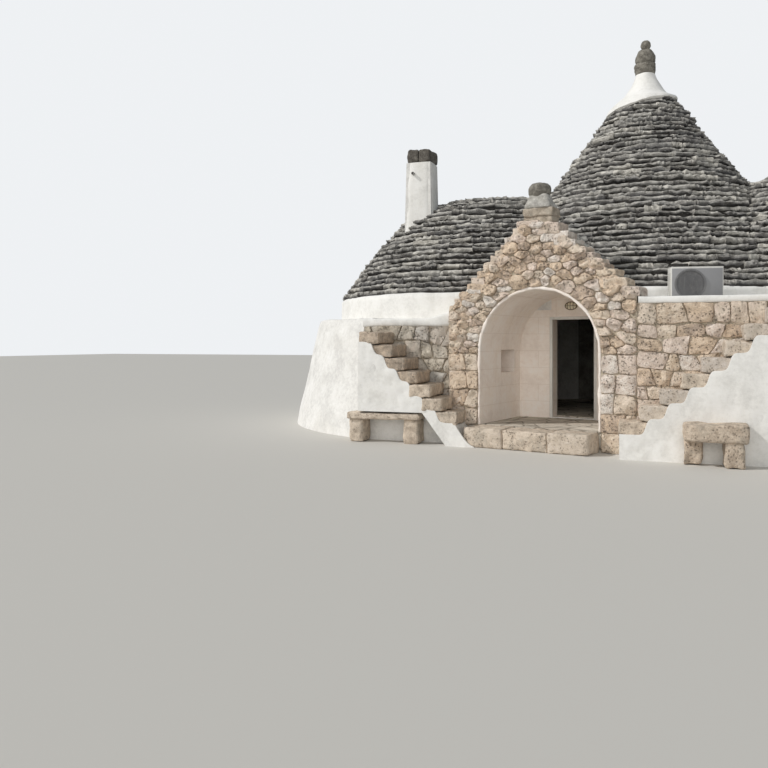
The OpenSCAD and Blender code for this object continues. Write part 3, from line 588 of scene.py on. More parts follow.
tufo = mineral("tufo", [(0.32, 0.27, 0.21), (0.49, 0.42, 0.34), (0.66, 0.58, 0.48)], grain=12.0, pits=0.5,
               weather=3.5, shade=0.25, bump=0.8, depth=0.015,
               layers=(("Patches", (0.45, 0.42, 0.36), 0.40), ("Up", (0.52, 0.49, 0.43), 0.25)))
collarStone = mineral("collar stone", [(0.38, 0.365, 0.34), (0.56, 0.545, 0.51), (0.74, 0.72, 0.67)],
                      grain=12.0, pits=0.5, weather=3.5, shade=0.3, bump=0.8, depth=0.015,
                      layers=(("Patches", (0.40, 0.38, 0.33), 0.40),))
treadStone = mineral("tread stone", [(0.45, 0.37, 0.30), (0.68, 0.55, 0.43), (0.82, 0.70, 0.57),
                                     (0.70, 0.63, 0.57)], perStone=True, grain=10.0, pits=0.6, weather=2.6,
                     shade=0.45, bump=1.0, depth=0.03,
                     layers=(("Patches", (0.40, 0.36, 0.30), 0.45), ("Specks", (0.80, 0.76, 0.68), 0.35)))
paving = mineral("paving", [(0.50, 0.46, 0.40), (0.66, 0.61, 0.53), (0.74, 0.70, 0.62)], grain=6.0,
                 weather=1.5, shade=0.2, bump=0.6, depth=0.012, pattern=flagstones(2.6, (0.24, 0.21, 0.17)))


def painted(name, colour, worn, gloss, metallic=0.0, amount=0.3, scale=3.0, dent=0.15):
    # paint or plastic: one colour, dirt in patches, and a little unevenness in gloss and surface
    material, tree, surface, stone, wear = newMaterial(name, scale * 6, 0.05, scale)
    surface.inputs["Metallic"].default_value = metallic
    base = colourRamp(tree, stone.outputs["Tone"], [tuple(c * 0.93 for c in colour), colour])
    factor = mathNode(tree, "MULTIPLY", mathNode(tree, "MAXIMUM", wear.outputs["Patches"],
                                                 wear.outputs["Streaks"]), amount)
    tree.links.new(mixColour(tree, factor, base, worn), surface.inputs["Base Color"])
    shineAndBump(tree, surface, stone, (gloss, min(gloss + 0.2, 1.0)), stone.outputs["Height"], dent, 0.002)
    return material


def paintedWood(name, colour, bare):
    # old paint on planks: grain that runs up the leaf, and bare wood where the paint has gone
    material = painted(name, colour, bare, 0.55, amount=0.6, scale=5.0, dent=0.25)
    tree = material.node_tree
    place = addNode(tree, "ShaderNodeTexCoord")
    stretch = addNode(tree, "ShaderNodeMapping")
    stretch.inputs["Scale"].default_value = (60.0, 60.0, 2.0)
    grain = addNode(tree, "ShaderNodeTexNoise", Scale=1.0, Detail=5.0)
    tree.links.new(place.outputs["Object"], stretch.inputs["Vector"])
    tree.links.new(stretch.outputs["Vector"], grain.inputs["Vector"])
    bumpNode = next(n for n in tree.nodes if n.bl_idname == "ShaderNodeBump")
    tree.links.new(grain.outputs["Fac"], bumpNode.inputs["Height"])
    return material


whitePaint = painted("white paint", (0.80, 0.79, 0.76), (0.48, 0.44, 0.38), 0.45)
leafPaint = paintedWood("leaf paint", (0.44, 0.45, 0.42), (0.36, 0.28, 0.20))
lampShell = painted("lamp shell", (0.86, 0.80, 0.62), (0.55, 0.45, 0.28), 0.25, scale=8.0)
lampCage = painted("lamp cage", (0.13, 0.09, 0.05), (0.30, 0.20, 0.12), 0.5, scale=12.0)
casePaint = painted("case paint", (0.80, 0.79, 0.75), (0.52, 0.50, 0.45), 0.4, scale=2.0)
# painted shade: a grey that stands in for the shade on the white front of the case
panelShadeGrey = painted("panel shade grey", (0.31, 0.31, 0.32), (0.30, 0.29, 0.27), 0.45, scale=2.0)
fanPlastic = painted("fan plastic", (0.16, 0.16, 0.165), (0.35, 0.34, 0.32), 0.5, scale=5.0)
hingeIron = painted("hinge iron", (0.24, 0.23, 0.22), (0.36, 0.22, 0.13), 0.5, metallic=0.6, scale=20.0)
pipePaint = painted("pipe paint", (0.42, 0.41, 0.40), (0.28, 0.24, 0.20), 0.5, scale=20.0)
print("materials made")

# the roof cores under the slates take the near-black bed of painted shade
nodeFinish = {
    "room_floor": paving, "porch_floor": paving, "main_roof_front": shadedSlateBed, "main_roof_back": shadedSlateBed,
    "left_roof": shadedSlateBed, "right_roof": shadedSlateBed, "porch_roof": shadedSlateBed, "left_wing_wall": rubbleMortar,
    "right_wing_wall": rubbleMortar, "porch_left_pier": rubbleMortar, "porch_right_pier": rubbleMortar,
    "porch_gable": rubbleMortar, "porch_haunch": rubbleMortar, "porch_lining": nichePlaster,
    "door_wall": nichePlaster, "main_band": nichePlaster, "door_hinges": hingeIron,
    "unit_fan": fanPlastic, "main_wall_back": roomStone,
}
for nodeName, node in nodes.items():
    finish = nodeFinish.get(nodeName, wallLimewash)
    for slotPlace in node.material_slots:
        slotPlace.material = finish

# Slates
slate = {
    "width": 0.37, "depth": 0.34, "jut": 0.012, "proud": 0.030, "wave": 0.016, "tilt": 0.02,
    "overlap": 1.03, "valley": 0.14, "shift": 0.020, "porchFrom": 0.38, "porchSlabs": 6, "crease": 0.45,
    # how each slab varies at random: metres, but shares for swell, share, thick and tone, radians for turns
    "edge": 0.017, "edgeLimits": (-0.018, 0.04), "swell": 0.07, "sag": 0.006, "chip": 0.009,
    "share": (0.5, 1.6), "lift": (0.004, 0.012), "thick": (0.60, 0.98), "leastJut": 0.016, "grit": 0.007,
    # slabs laid flat over a blunt top
    "flatWidth": 0.36, "flatLimit": 0.46, "flatOverlap": 1.16, "flatDepth": 0.38, "flatThick": (0.06, 0.09),
    "slabChip": 0.004, "askew": 0.05, "roll": 0.03, "tone": 0.30,
    # outline across a slab, outer edge at 0, as shares of its depth and thickness
    "outline": [(-1, -0.5), (-0.14, -0.5), (-0.035, -0.36), (0, -0.08), (-0.012, 0.20), (-0.045, 0.42),
                (-0.14, 0.52), (-1, 0.5)],
    # rim is painted shade under and behind each slab, lit a painted highlight along its upper nose
    "rim": [1, 1, 0.8, 0.25, 0, 0, 0, 0.4],
    "lit": [0, 0, 0, 0.04, 0.4, 0.95, 0.6, 0.0],
    "stations": [-1, -0.96, -0.62, -0.30, 0, 0.34, 0.66, 0.96, 1],
    "shrink": [0.94, 1.0, 1.0, 1.01, 1.01, 1.01, 1.0, 1.0, 0.94],
}


# Slabs: the outline is carried along each slab at nine stations and shrinks at both ends;
# its outer edge and its thickness wander by a random amount at each station
def slabs(centre, along, out, width, depth, thick, rng):
    count, steps = len(width), len(slate["stations"])
    outline = np.array(slate["outline"])
    station = np.array(slate["stations"])
    shrink = np.array(slate["shrink"])[None, :, None]
    reach = (outline[:, 0] + 0.5)[None, None, :] * shrink - 0.5
    lift = outline[:, 1][None, None, :] * shrink
    front = (outline[:, 0] > -0.3)[None, None, :]
    wander = np.clip(rng.normal(0.002, slate["edge"], (count, steps, 1)), *slate["edgeLimits"]) * front
    swell = 1 + rng.normal(0, slate["swell"], (count, steps, 1))
    sag = rng.normal(0, slate["sag"], (count, steps, 1))
    sides = len(outline)
    chip = rng.normal(0, slate["chip"], (count, steps, sides))
    chip = chip + rng.normal(0, slate["slabChip"], (count, 1, sides))
    turnBy = rng.normal(0, slate["askew"], count)[:, None]
    along = along * np.cos(turnBy) + out * np.sin(turnBy)
    out = np.cross(along, upward)
    out = out / np.linalg.norm(out, axis=1, keepdims=True)
    tilt = slate["tilt"] + rng.normal(0, slate["askew"], count)[:, None]
    upper = upward + out * tilt
    out = out - upward * tilt
    along = along + upward * rng.normal(0, slate["roll"], count)[:, None]
    q = reach * depth[:, None, None] + wander + chip
    h = lift * thick[:, None, None] * swell + chip * 0.7 + sag
    points = (centre[:, None, None] + along[:, None, None] * (station[None, :, None, None] *
              width[:, None, None, None] / 2) + out[:, None, None] * q[..., None] +
              upper[:, None, None] * h[..., None])
    ids = np.arange(count * steps * sides).reshape(count, steps, sides)
    side = np.roll(ids, -1, axis=2)
    quads = np.stack([ids[:, :-1], ids[:, 1:], side[:, 1:], side[:, :-1]], -1).reshape(-1, 4)
    marks = {"tone": np.repeat(np.clip(rng.normal(0.5, slate["tone"], count), 0, 1), steps * sides)}
    # the painted shade and painted highlight weights, the same on every slab
    for key in ("rim", "lit"):
        marks[key] = np.broadcast_to(np.array(slate[key]), (count, steps, sides))
    return points, [quads, ids[:, 0], ids[:, -1, ::-1]], marks


# Cone slates: a ring of slabs on every course of the solid, their joints and heights at random,
# narrower where the ring is small, and rings of flat slabs over a blunt top
def coneSlates(name, centre, profile, top, hidden, seed, flatTop=()):
    rng = np.random.default_rng(seed)
    places = []
    height = house["courseHeight"]
    levels = np.arange(profile[0][1], top, height)
    shift = rng.uniform(0, slate["shift"], len(levels) + 1)
    for step, z in enumerate(levels):
        radius = profileRadius(profile, z + house["courseAt"])
        count = max(int(2 * np.pi * radius / (slate["width"] * min(1, 0.5 + radius / 3.0))), 7)
        share = rng.uniform(*slate["share"], count)
        share = share / share.sum()
        mid = np.cumsum(share) * 2 * np.pi + rng.uniform(0, 6) - share * np.pi
        wave = latticeNoise(np.stack([mid * radius * 0.9, np.full(count, z * 1.3), 0 * mid], -1), seed)
        rise = shift[step + 1] + (wave + 1) * slate["wave"] + rng.uniform(*slate["lift"], count)
        thick = (height + shift[step + 1] - shift[step]) * rng.uniform(*slate["thick"], count) + rise * 0.2
        jut = np.maximum(rng.normal(slate["proud"], slate["jut"], count), slate["leastJut"])
        places.append(np.stack([mid, radius + jut, z + height + rise - thick / 2,
                                share * 2 * np.pi * radius * slate["overlap"], thick], -1))
    depth = [np.full(len(p), slate["depth"]) for p in places]
    for radius, level in flatTop:
        count = max(int(2 * np.pi * radius / slate["flatWidth"]), 1) if radius > 0.2 else 1
        mid = (np.arange(count) + rng.uniform(0, 1)) * 2 * np.pi / count
        wide = min(2 * np.pi * radius / count * slate["flatOverlap"], slate["flatLimit"])
        places.append(np.stack([mid, radius + rng.normal(0.02, 0.02, count), rng.normal(level, 0.008, count),
                                np.full(count, wide), rng.uniform(*slate["flatThick"], count)], -1))
        depth.append(np.full(count, slate["flatDepth"]))
    mid, radius, z, width, thick = np.concatenate(places).T
    depth = np.minimum(np.concatenate(depth), radius * 0.9 + 0.16)
    out = np.stack([np.cos(mid), np.sin(mid), 0 * mid], -1)
    along = np.stack([-np.sin(mid), np.cos(mid), 0 * mid], -1)
    spot = np.append(centre, 0.0) + out * radius[:, None] + upward * z[:, None]
    keep = ~hidden(spot)
    points, polys, marks = slabs(spot[keep], along[keep], out[keep], width[keep], depth[keep],
                                 thick[keep], rng)
    points = points + roughVector(points, 0.10, seed) * slate["grit"]
    makePiece(name, points, polys, slateStone, "slate", sharp=slate["crease"], **marks)
    print(name, keep.sum(), "slabs")


origin = np.zeros(2)
chimneySpot = np.array([-4.12, -1.38])
# ground that the slates leave free: half the width of the stack, and the plane under the cap
cleared = {"chimneyHalf": 0.22, "cap": 6.10, "capSlope": 0.2, "capBack": 0.05}


def nearChimney(points):
    # within the square that the stack stands on
    return np.abs(points[..., :2] - chimneySpot).max(axis=-1) < cleared["chimneyHalf"]


def underCap(points):
    # above a plane that slopes as the lower edge of the white cap does, and a little higher at the back
    plane = cleared["cap"] + cleared["capSlope"] * points[..., 0]
    return points[..., 2] > plane + cleared["capBack"] * (points[..., 1] > 0)


valley = slate["valley"]
coneSlates("main_slates", origin, house["mainProfile"], 6.13, lambda p:
           insideCone(p, house["leftCentre"], house["leftProfile"], valley) |
           insideCone(p, house["rightCentre"], house["rightProfile"], valley) |
           insidePorch(p, valley) | underCap(p), 11)
coneSlates("left_slates", house["leftCentre"], house["leftProfile"], 4.36, lambda p:
           insideCone(p, origin, house["mainProfile"], valley) | insidePorch(p, valley) |
           nearChimney(p), 23, flatTop=((1.02, 4.335), (0.46, 4.41), (0.17, 4.42)))
coneSlates("right_slates", house["rightCentre"], house["rightProfile"], 4.56, lambda p:
           insideCone(p, origin, house["mainProfile"], valley), 37,
           flatTop=((0.78, 4.545), (0.36, 4.615), (0.15, 4.625)))


def porchSlates():
    # courses that run inwards along both slopes of the porch roof, and a row on each side of its ridge
    rng = np.random.default_rng(41)
    parts = []
    start, count, drop = slate["porchFrom"], slate["porchSlabs"], house["roofDrop"]
    line, length = house["gableLine"], house["roofEnd"] - slate["porchFrom"]
    for side, foot, head in ((-1, line[0], line[1]), (1, line[3], line[2])):
        z = foot[1] - drop - 0.05
        while z < head[1] - drop:
            height = house["courseHeight"] * rng.uniform(0.7, 1.1)
            x = np.interp(z + height * 0.25, [foot[1] - drop, head[1] - drop], [foot[0], head[0]])
            share = rng.uniform(0.55, 1.4, count)
            width = share / share.sum() * length
            y = start + np.cumsum(width) - width / 2
            spot = porchPoint(x + side * rng.normal(0.02, 0.012, count), y, z + height * 0.62)
            thick = height * rng.uniform(0.95, 1.25, count)
            parts.append((spot, np.full(count, side), width * 1.02, thick))
            z += height
    for x in (-0.20, 0.14):
        width = np.full(count, length / count)
        y = start + np.cumsum(width) - width / 2
        parts.append((porchPoint(x, y, line[1][1] - drop + 0.03), np.full(count, np.sign(x)),
                      width * slate["overlap"], np.full(count, 0.07)))
    spot, side, width, thick = (np.concatenate([p[k] for p in parts]) for k in range(4))
    keep = ~(insideCone(spot, origin, house["mainProfile"], 0.12) |
             insideCone(spot, house["leftCentre"], house["leftProfile"], 0.12))
    out = side[keep, None] * porchX
    along = -np.cross(out, upward)
    points, polys, marks = slabs(spot[keep], along, out, width[keep],
                                 np.full(keep.sum(), slate["depth"]), thick[keep], rng)
    makePiece("porch_slates", points, polys, slateStone, "slate", sharp=slate["crease"], **marks)


porchSlates()
print("slates laid")

# Rubble
rubble = {
    "joint": 0.003, "stretch": 1.45, "back": 0.07, "rays": 24, "tone": 0.30, "crease": 0.6,
    "wallSlope": 0.34, "cellSlope": 0.48, "least": 0.006, "cut": 0.16, "warp": 0.011,
    # size and strength of the coarse and of the fine noise on a face
    "wallGrit": ((0.12, 0.024), (0.04, 0.016)), "cellGrit": ((0.10, 0.026), (0.04, 0.016)),
    "grid": [-1, -0.94, -0.72, -0.36, 0, 0.36, 0.72, 0.94, 1],
    # rings of a cell stone: share of its reach, share of its height left there, painted shade at the joint
    "rings": [(0.3, 1.0, 0), (0.58, 1.0, 0), (0.82, 0.97, 0), (0.95, 0.80, 0.15), (1.0, 0.15, 0.85)],
}


def stoneRows(left, right, heights, width, rng, seed, bend=0.25):
    # corners of stones in rows: the bed joints wander, and the cross joints lean a little
    rows = []
    for k in range(len(heights) - 1):
        low, high = heights[k], heights[k + 1]
        share = rng.uniform(0.45, 1.7, max(int((right - left) / width), 1))
        ends = left + np.concatenate([[0], np.cumsum(share)]) / share.sum() * (right - left)
        inner = (np.arange(len(ends)) % len(share) > 0) * (high - low)
        lean = np.clip(rng.normal(0, 0.14, len(ends)), -0.3, 0.3) * inner
        bottom, top = ends - lean, ends + lean

        def bed(u, index, level):
            # the height of a bed joint, which sways with the noise except at the foot and the top
            sway = latticeNoise(np.stack([u * 2.6, np.full(len(u), index * 7.3), 0 * u], -1), seed)
            free = 0 if index in (0, len(heights) - 1) else 1
            return level + free * sway * bend * (high - low)
        lower, upper = bed(bottom, k, low), bed(top, k + 1, high)
        rows.append(np.stack([np.stack([bottom[:-1], lower[:-1]], -1), np.stack([bottom[1:], lower[1:]], -1),
                              np.stack([top[1:], upper[1:]], -1), np.stack([top[:-1], upper[:-1]], -1)], 1))
    return np.concatenate(rows)


def stoneFace(points, face, height, fall, coarse, fine, grain, seed):
    # the flat ground lifted along the face by the stone's height, its grit and its fall to the joint,
    # then warped by noise of the grain's size
    grit = rough(points, coarse[0], seed) * coarse[1] + rough(points, fine[0], seed + 5, 2) * fine[1]
    height = np.maximum(height + grit, rubble["least"]) * fall + 0.004
    return points + face * height[..., None] + roughVector(points, grain, seed + 9) * rubble["warp"]


def layStones(name, verts, faces, dark, material, rng):
    # the same faces on every stone, a tone for each, and how much painted shade lies at its rim by the joint
    count, total = verts.shape[:2]
    base = (np.arange(count) * total)[:, None, None]
    polys = [(face[None] + base).reshape(-1, face.shape[1]) for face in faces]
    tone = np.repeat(np.clip(rng.normal(0.5, rubble["tone"], count), 0, 1), total)
    makePiece(name, verts, polys, material, "rubble", tone=tone,
              rim=np.broadcast_to(dark, (count, total)), sharp=rubble["crease"])
    print(name, count, "stones")


# Wall stones: each stone's four corners are blended over a grid and its corners are cut by a
# random share; its face is the lowest of four tilted planes, roughened by noise, falls off to
# the joint, and is closed by a skirt to a flat back
def wallStones(name, corners, start, across, face, relief, rng, seed, material=rubbleStone):
    count, size = len(corners), len(rubble["grid"])
    middle = corners.mean(axis=1, keepdims=True)
    reach = np.linalg.norm(corners - middle, axis=-1, keepdims=True)
    corners = middle + (corners - middle) * (1 - rubble["joint"] / np.maximum(reach, 0.03))
    step = np.array(rubble["grid"])
    a, b = np.meshgrid(step, step, indexing="ij")
    cut = rng.uniform(0.0, rubble["cut"], (count, 1, 1))
    pull = 1 - cut * np.abs(a * b) ** 2.5
    weights = np.stack([(1 - a) * (1 - b), (1 + a) * (1 - b), (1 + a) * (1 + b), (1 - a) * (1 + b)], -1) / 4
    spread = np.einsum("abk,nkc->nabc", weights, corners)
    spread = middle[:, None] + (spread - middle[:, None]) * pull[..., None]
    rim = np.maximum(abs(a), abs(b))
    fall = np.select([rim > 0.98, rim > 0.9, rim > 0.6], [0.15, 0.80, 0.97], 1.0)
    slopes = rng.normal(0, rubble["wallSlope"], (count, 4, 2))
    planes = rng.uniform(0.9, 1.5, (count, 4, 1, 1)) + np.einsum("nkc,cab->nkab", slopes, np.stack([a, b]))
    height = rng.uniform(relief[0], relief[1], count)[:, None, None] * np.clip(planes.min(axis=1), 0.35, 1.4)
    start, across, face = (np.asarray(v, float) for v in (start, across, face))
    points = start + spread[..., :1] * across + spread[..., 1:] * upward
    points = stoneFace(points, face, height, fall, *rubble["wallGrit"], 0.09, seed)
    ids = np.arange(size * size).reshape(size, size)
    quads = np.stack([ids[:-1, :-1], ids[1:, :-1], ids[1:, 1:], ids[:-1, 1:]], -1).reshape(-1, 4)
    ring = np.concatenate([ids[:, 0], ids[-1, 1:], ids[-2::-1, -1], ids[0, -2:0:-1]])
    points = points.reshape(count, size * size, 3)
    behind = points[:, ring] - face * rubble["back"]
    rimIds = size * size + np.arange(len(ring))
    skirt = np.stack([np.roll(ring, -1), ring, rimIds, np.roll(rimIds, -1)], -1)
    # painted shade where the face falls to the joint, and full on the skirt
    dark = np.concatenate([1 - fall.ravel(), np.ones(len(ring))])
    layStones(name, np.concatenate([points, behind], 1), [quads, skirt, rimIds[None, ::-1]], dark, material,
              rng)


def randomRows(low, high, least, most, rng):
    # heights of bed joints, a random step apart, that end at the top of the wall
    steps = [low]
    while steps[-1] < high - most * 0.6:
        steps.append(steps[-1] + rng.uniform(least, most))
    steps[-1] = high
    return np.array(steps)


# Cell stones: a stone is the ground nearer to its own centre than to any other centre or to a
# mirrored one, with x measured in units of the stretch; along each ray its reach is the least
# distance to a bisector. Its face is the lowest of four tilted planes, falls off to the joint,
# and is closed by a skirt to a flat back
def cellStones(name, seeds, mirrored, start, across, face, relief, rng, seed):
    count, rays = len(seeds), rubble["rays"]
    step = np.concatenate([seeds, mirrored])[None] - seeds[:, None]
    gap = np.linalg.norm(step, axis=-1)
    near = np.argsort(gap, axis=1)[:, 1:16]
    step = np.take_along_axis(step, near[..., None], 1)
    gap = np.take_along_axis(gap, near, 1)[..., None]
    turns = fullTurn(rays)
    ray = np.stack([np.cos(turns), np.sin(turns)], -1)
    lean = (step / gap) @ ray.T
    reach = np.where(lean > 0.02, (gap / 2 - rubble["joint"]) / np.maximum(lean, 0.02), 9.0).min(axis=1)
    soft = (np.roll(reach, 1, 1) + np.roll(reach, -1, 1)) / 2
    reach = np.maximum(np.minimum(reach, soft * 1.04), 0.012)
    share, fall, shadow = np.array(rubble["rings"], float).T
    wide = np.array([rubble["stretch"], 1.0])
    local = reach[:, None, :, None] * share[None, :, None, None] * ray * wide
    fall = fall[None, :, None]
    slopes = rng.normal(0, rubble["cellSlope"], (count, 4, 2))
    size = reach.mean(axis=1)[:, None, None, None]
    planes = rng.uniform(0.9, 1.4, (count, 4, 1, 1)) + np.einsum("nkc,nabc->nkab", slopes, local / size)
    high = rng.uniform(relief[0], relief[1], count)[:, None, None]
    height = high * np.clip(planes.min(axis=1), 0.4, 1.4)
    start, across, face = (np.asarray(v, float) for v in (start, across, face))
    flat = seeds[:, None, None] * wide + local
    points = start + flat[..., :1] * across + flat[..., 1:] * upward
    points = stoneFace(points, face, height, fall, *rubble["cellGrit"], 0.07, seed)
    middle = points[:, 0].mean(axis=1, keepdims=True)
    behind = points[:, -1] - face * rubble["back"]
    ring = 1 + np.arange((len(shadow) + 1) * rays).reshape(-1, rays)
    ahead = np.roll(ring, -1, axis=1)
    fan = np.stack([np.zeros(rays, int), ring[0], ahead[0]], -1)
    quads = np.stack([ring[:-1], ring[1:], ahead[1:], ahead[:-1]], -1).reshape(-1, 4)
    # painted shade: none at the middle, rising ring by ring to the joint and full on the back
    dark = np.concatenate([[0], np.repeat([*shadow, 1], rays)])
    layStones(name, np.concatenate([middle, points.reshape(count, -1, 3), behind], 1),
              [fan, quads, ring[-1:, ::-1]], dark, rubbleStone, rng)


def scatter(left, right, low, high, wide, tall, rng, missing=0.14):
    # centres in staggered rows, each moved at random, some left out to make larger stones
    rows, columns = max(round((high - low) / tall), 1), max(round((right - left) / wide), 1)
    r, c = np.meshgrid(np.arange(rows), np.arange(columns), indexing="ij")
    x = (c + 0.25 + 0.5 * (r % 2) + rng.uniform(-0.3, 0.3, c.shape)) / columns
    z = (r + 0.5 + rng.uniform(-0.26, 0.26, c.shape)) / rows
    seeds = np.stack([left + x * (right - left), low + z * (high - low)], -1).reshape(-1, 2)
    return seeds[rng.uniform(0, 1, len(seeds)) > missing]


def mirrorIn(seeds, point, direction):
    # seeds turned over in a straight line
    direction = np.array(direction) / np.linalg.norm(direction, axis=-1, keepdims=True)
    away = seeds - np.array(point)
    return np.array(point) + 2 * (away * direction).sum(axis=-1, keepdims=True) * direction - away


gable = {"pierJoints": (0, 0.28, 0.57, 0.85, 1.14, 1.42), "pierStone": 0.235, "pierRelief": (0.020, 0.045),
         "wide": 0.205, "tall": 0.108, "relief": (0.020, 0.085), "archGap": 0.035}


def gableStones():
    # squared stones in rows on both piers, and cell stones above them that keep off the arch
    rng = np.random.default_rng(5)
    spring, radius, half = house["springZ"], house["nicheRadius"], house["porchHalf"]
    start = np.append(house["porchCorner"], 0.0)
    line, heights = np.array(house["gableLine"]), np.array(gable["pierJoints"])
    corners = np.concatenate([stoneRows(left, right, heights, gable["pierStone"], rng, 3, 0.10)
                              for left, right in ((-half, -radius), (radius, half))])
    wallStones("pier_stones", corners, start, porchX, -porchY, gable["pierRelief"], rng, 7)
    seeds = scatter(-half, half, heights[-1], line[1][1], gable["wide"], gable["tall"], rng)
    arch = np.maximum(seeds[:, 1], spring) - spring
    reach = np.hypot(seeds[:, 0], arch)
    seeds = seeds[(abs(seeds[:, 0]) < half - 0.03) & (seeds[:, 1] < gableHeight(seeds[:, 0]) - 0.04) &
                  (reach > radius + gable["archGap"])]
    # each neighbour is turned over in the tangent of the arch, in the stretched measure
    squeeze = np.array([1 / rubble["stretch"], 1.0])
    away = np.stack([seeds[:, 0], np.maximum(seeds[:, 1] - spring, 0)], -1)
    away = away / np.linalg.norm(away, axis=1, keepdims=True)
    touch = (away * radius + np.stack([0 * seeds[:, 0], np.minimum(seeds[:, 1], spring)], -1)) * squeeze
    tangent = np.stack([-away[:, 1], away[:, 0]], -1) * squeeze
    seeds, line = seeds * squeeze, line * squeeze
    half = half * squeeze[0]
    mirrored = np.concatenate([
        mirrorIn(seeds, touch, tangent), mirrorIn(seeds, (0, heights[-1]), (1, 0)),
        mirrorIn(seeds, (half, 0), (0, 1)), mirrorIn(seeds, (-half, 0), (0, 1)),
        mirrorIn(seeds, line[0], line[1] - line[0]), mirrorIn(seeds, line[3], line[2] - line[3]),
        mirrorIn(seeds, line[1], (1, 0))])
    cellStones("gable_stones", seeds, mirrored, start, porchX, -porchY, gable["relief"], rng, 8)


gableStones()

archEdge = {"inset": 0.018, "foot": 0.302, "wide": 0.022, "deep": 0.016}


def archRim():
    # the worn edge of the plaster: a rounded strip up both jambs and round the arch
    spring, radius = house["springZ"], house["nicheRadius"] - archEdge["inset"]
    straight = np.linspace(archEdge["foot"], spring, 40)
    bend = np.linspace(0, np.pi, 90)[1:-1]
    x = np.concatenate([np.full(40, radius), radius * np.cos(bend), np.full(40, -radius)])
    z = np.concatenate([straight, spring + radius * np.sin(bend), straight[::-1]])
    away = np.concatenate([np.tile([1.0, 0.0], (40, 1)), np.stack([np.cos(bend), np.sin(bend)], -1),
                           np.tile([-1.0, 0.0], (40, 1))])
    turns = fullTurn(12)
    wide = archEdge["wide"] + 0.008 * latticeNoise(np.stack([x * 7, z * 7, 0 * x], -1), 47)
    deep = archEdge["deep"] + 0.006 * latticeNoise(np.stack([x * 9, z * 9, 0 * x], -1), 49)
    across = x[:, None] + away[:, :1] * np.cos(turns) * wide[:, None]
    height = z[:, None] + away[:, 1:] * np.cos(turns) * wide[:, None]
    points = porchPoint(across, -np.sin(turns) * deep[:, None], height)
    verts, polys = bar(points + roughVector(points, 0.08, 48) * 0.005)
    makePiece("arch_plaster_rim", verts, polys, nichePlaster, "niche_plaster")


archRim()

edgeStone = {"high": (0.08, 0.16), "wide": (0.18, 0.36), "overhang": (0.02, 0.07), "quoins": (0.40, 0.24),
             "quoinTops": (0.28, 0.57, 0.85, 1.14, 1.42, 1.66, 1.90, 2.10)}


def edgeStones():
    # stones that step up both slopes of the gable, and quoins at its left corner
    rng = np.random.default_rng(15)
    line = house["gableLine"]
    centres, halves = [], []
    for foot, head, side in ((line[0], line[1], -1), (line[3], line[2], 1)):
        z = foot[1] - 0.05
        while z < head[1] - 0.05:
            high = rng.uniform(*edgeStone["high"])
            x = np.interp(z + high * 0.55, [foot[1], head[1]], [foot[0], head[0]])
            wide = rng.uniform(*edgeStone["wide"])
            inward = wide / 2 - rng.uniform(*edgeStone["overhang"])
            centres.append((x - side * inward, 0.205, z + high / 2 - 0.01))
            halves.append((wide / 2, 0.225 + rng.uniform(-0.02, 0.02), high / 2 + 0.004))
            z += high * 0.93
    z = 0.0
    for level in edgeStone["quoinTops"]:
        wide = rng.choice(edgeStone["quoins"])
        centres.append((-house["porchHalf"] + wide / 2 - 0.012, 0.12, (z + level) / 2))
        halves.append((wide / 2, 0.14, (level - z) / 2 - 0.006))
        z = level
    centres = np.array(centres)
    verts, polys = blocks(porchPoint(*centres.T), np.array(halves), squareAxes(turn), 0.018, 19, grid=8,
                          relief=0.016, size=0.10)
    tone = np.repeat(np.clip(rng.normal(0.5, 0.25, len(centres)), 0, 1), verts.shape[1])
    makePiece("gable_edge_stones", verts, polys, rubbleStone, "rubble", tone=tone, sharp=rubble["crease"])


edgeStones()


def frontWall(name, node, rows, width, relief, seed, side, material):
    # stones over the front of a wall that stands square to y, and over its free end: left -1, right 1
    low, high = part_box(node)
    rng = np.random.default_rng(seed)
    heights = randomRows(0.0, high[2], rows[0], rows[1], rng)
    corners = stoneRows(low[0], high[0], heights, width, rng, seed, 0.22)
    shown = corners.mean(axis=1)
    spot = np.stack([shown[:, 0], np.full(len(shown), low[1]), shown[:, 1]], -1)
    inside = insidePorch(spot + np.array([0, 0.02, 0]), -3.0)         # at any height
    wallStones(name, corners[~inside], (0, low[1], 0), (1, 0, 0), (0, -1, 0), relief, rng, seed, material)
    corners = stoneRows(low[1] + 0.01, high[1], heights, width * 0.9, rng, seed + 1, 0.2)
    if side < 0:
        corners = (corners * np.array([-1, 1]))[:, [1, 0, 3, 2]]
    end = low[0] if side < 0 else high[0]
    wallStones(name + "_end", corners, (end, 0, 0), (0, side, 0), (side, 0, 0), relief, rng, seed + 2,
               material)


frontWall("right_front_stones", "right_wing_wall", (0.15, 0.23), 0.27, (0.018, 0.042), 61, 1, rubbleStone)
frontWall("left_front_stones", "left_wing_wall", (0.18, 0.27), 0.27, (0.02, 0.05), 51, -1, greyRubble)
print("rubble laid")

# White round walls, bands and copings
wash = {"proud": 0.014, "thick": 0.05, "lumps": 0.014, "lumpSize": 0.8, "grain": 0.004, "grainSize": 0.12,
        "bandRadius": 3.09, "mainBandRadius": 3.57, "bandTop": 2.40}


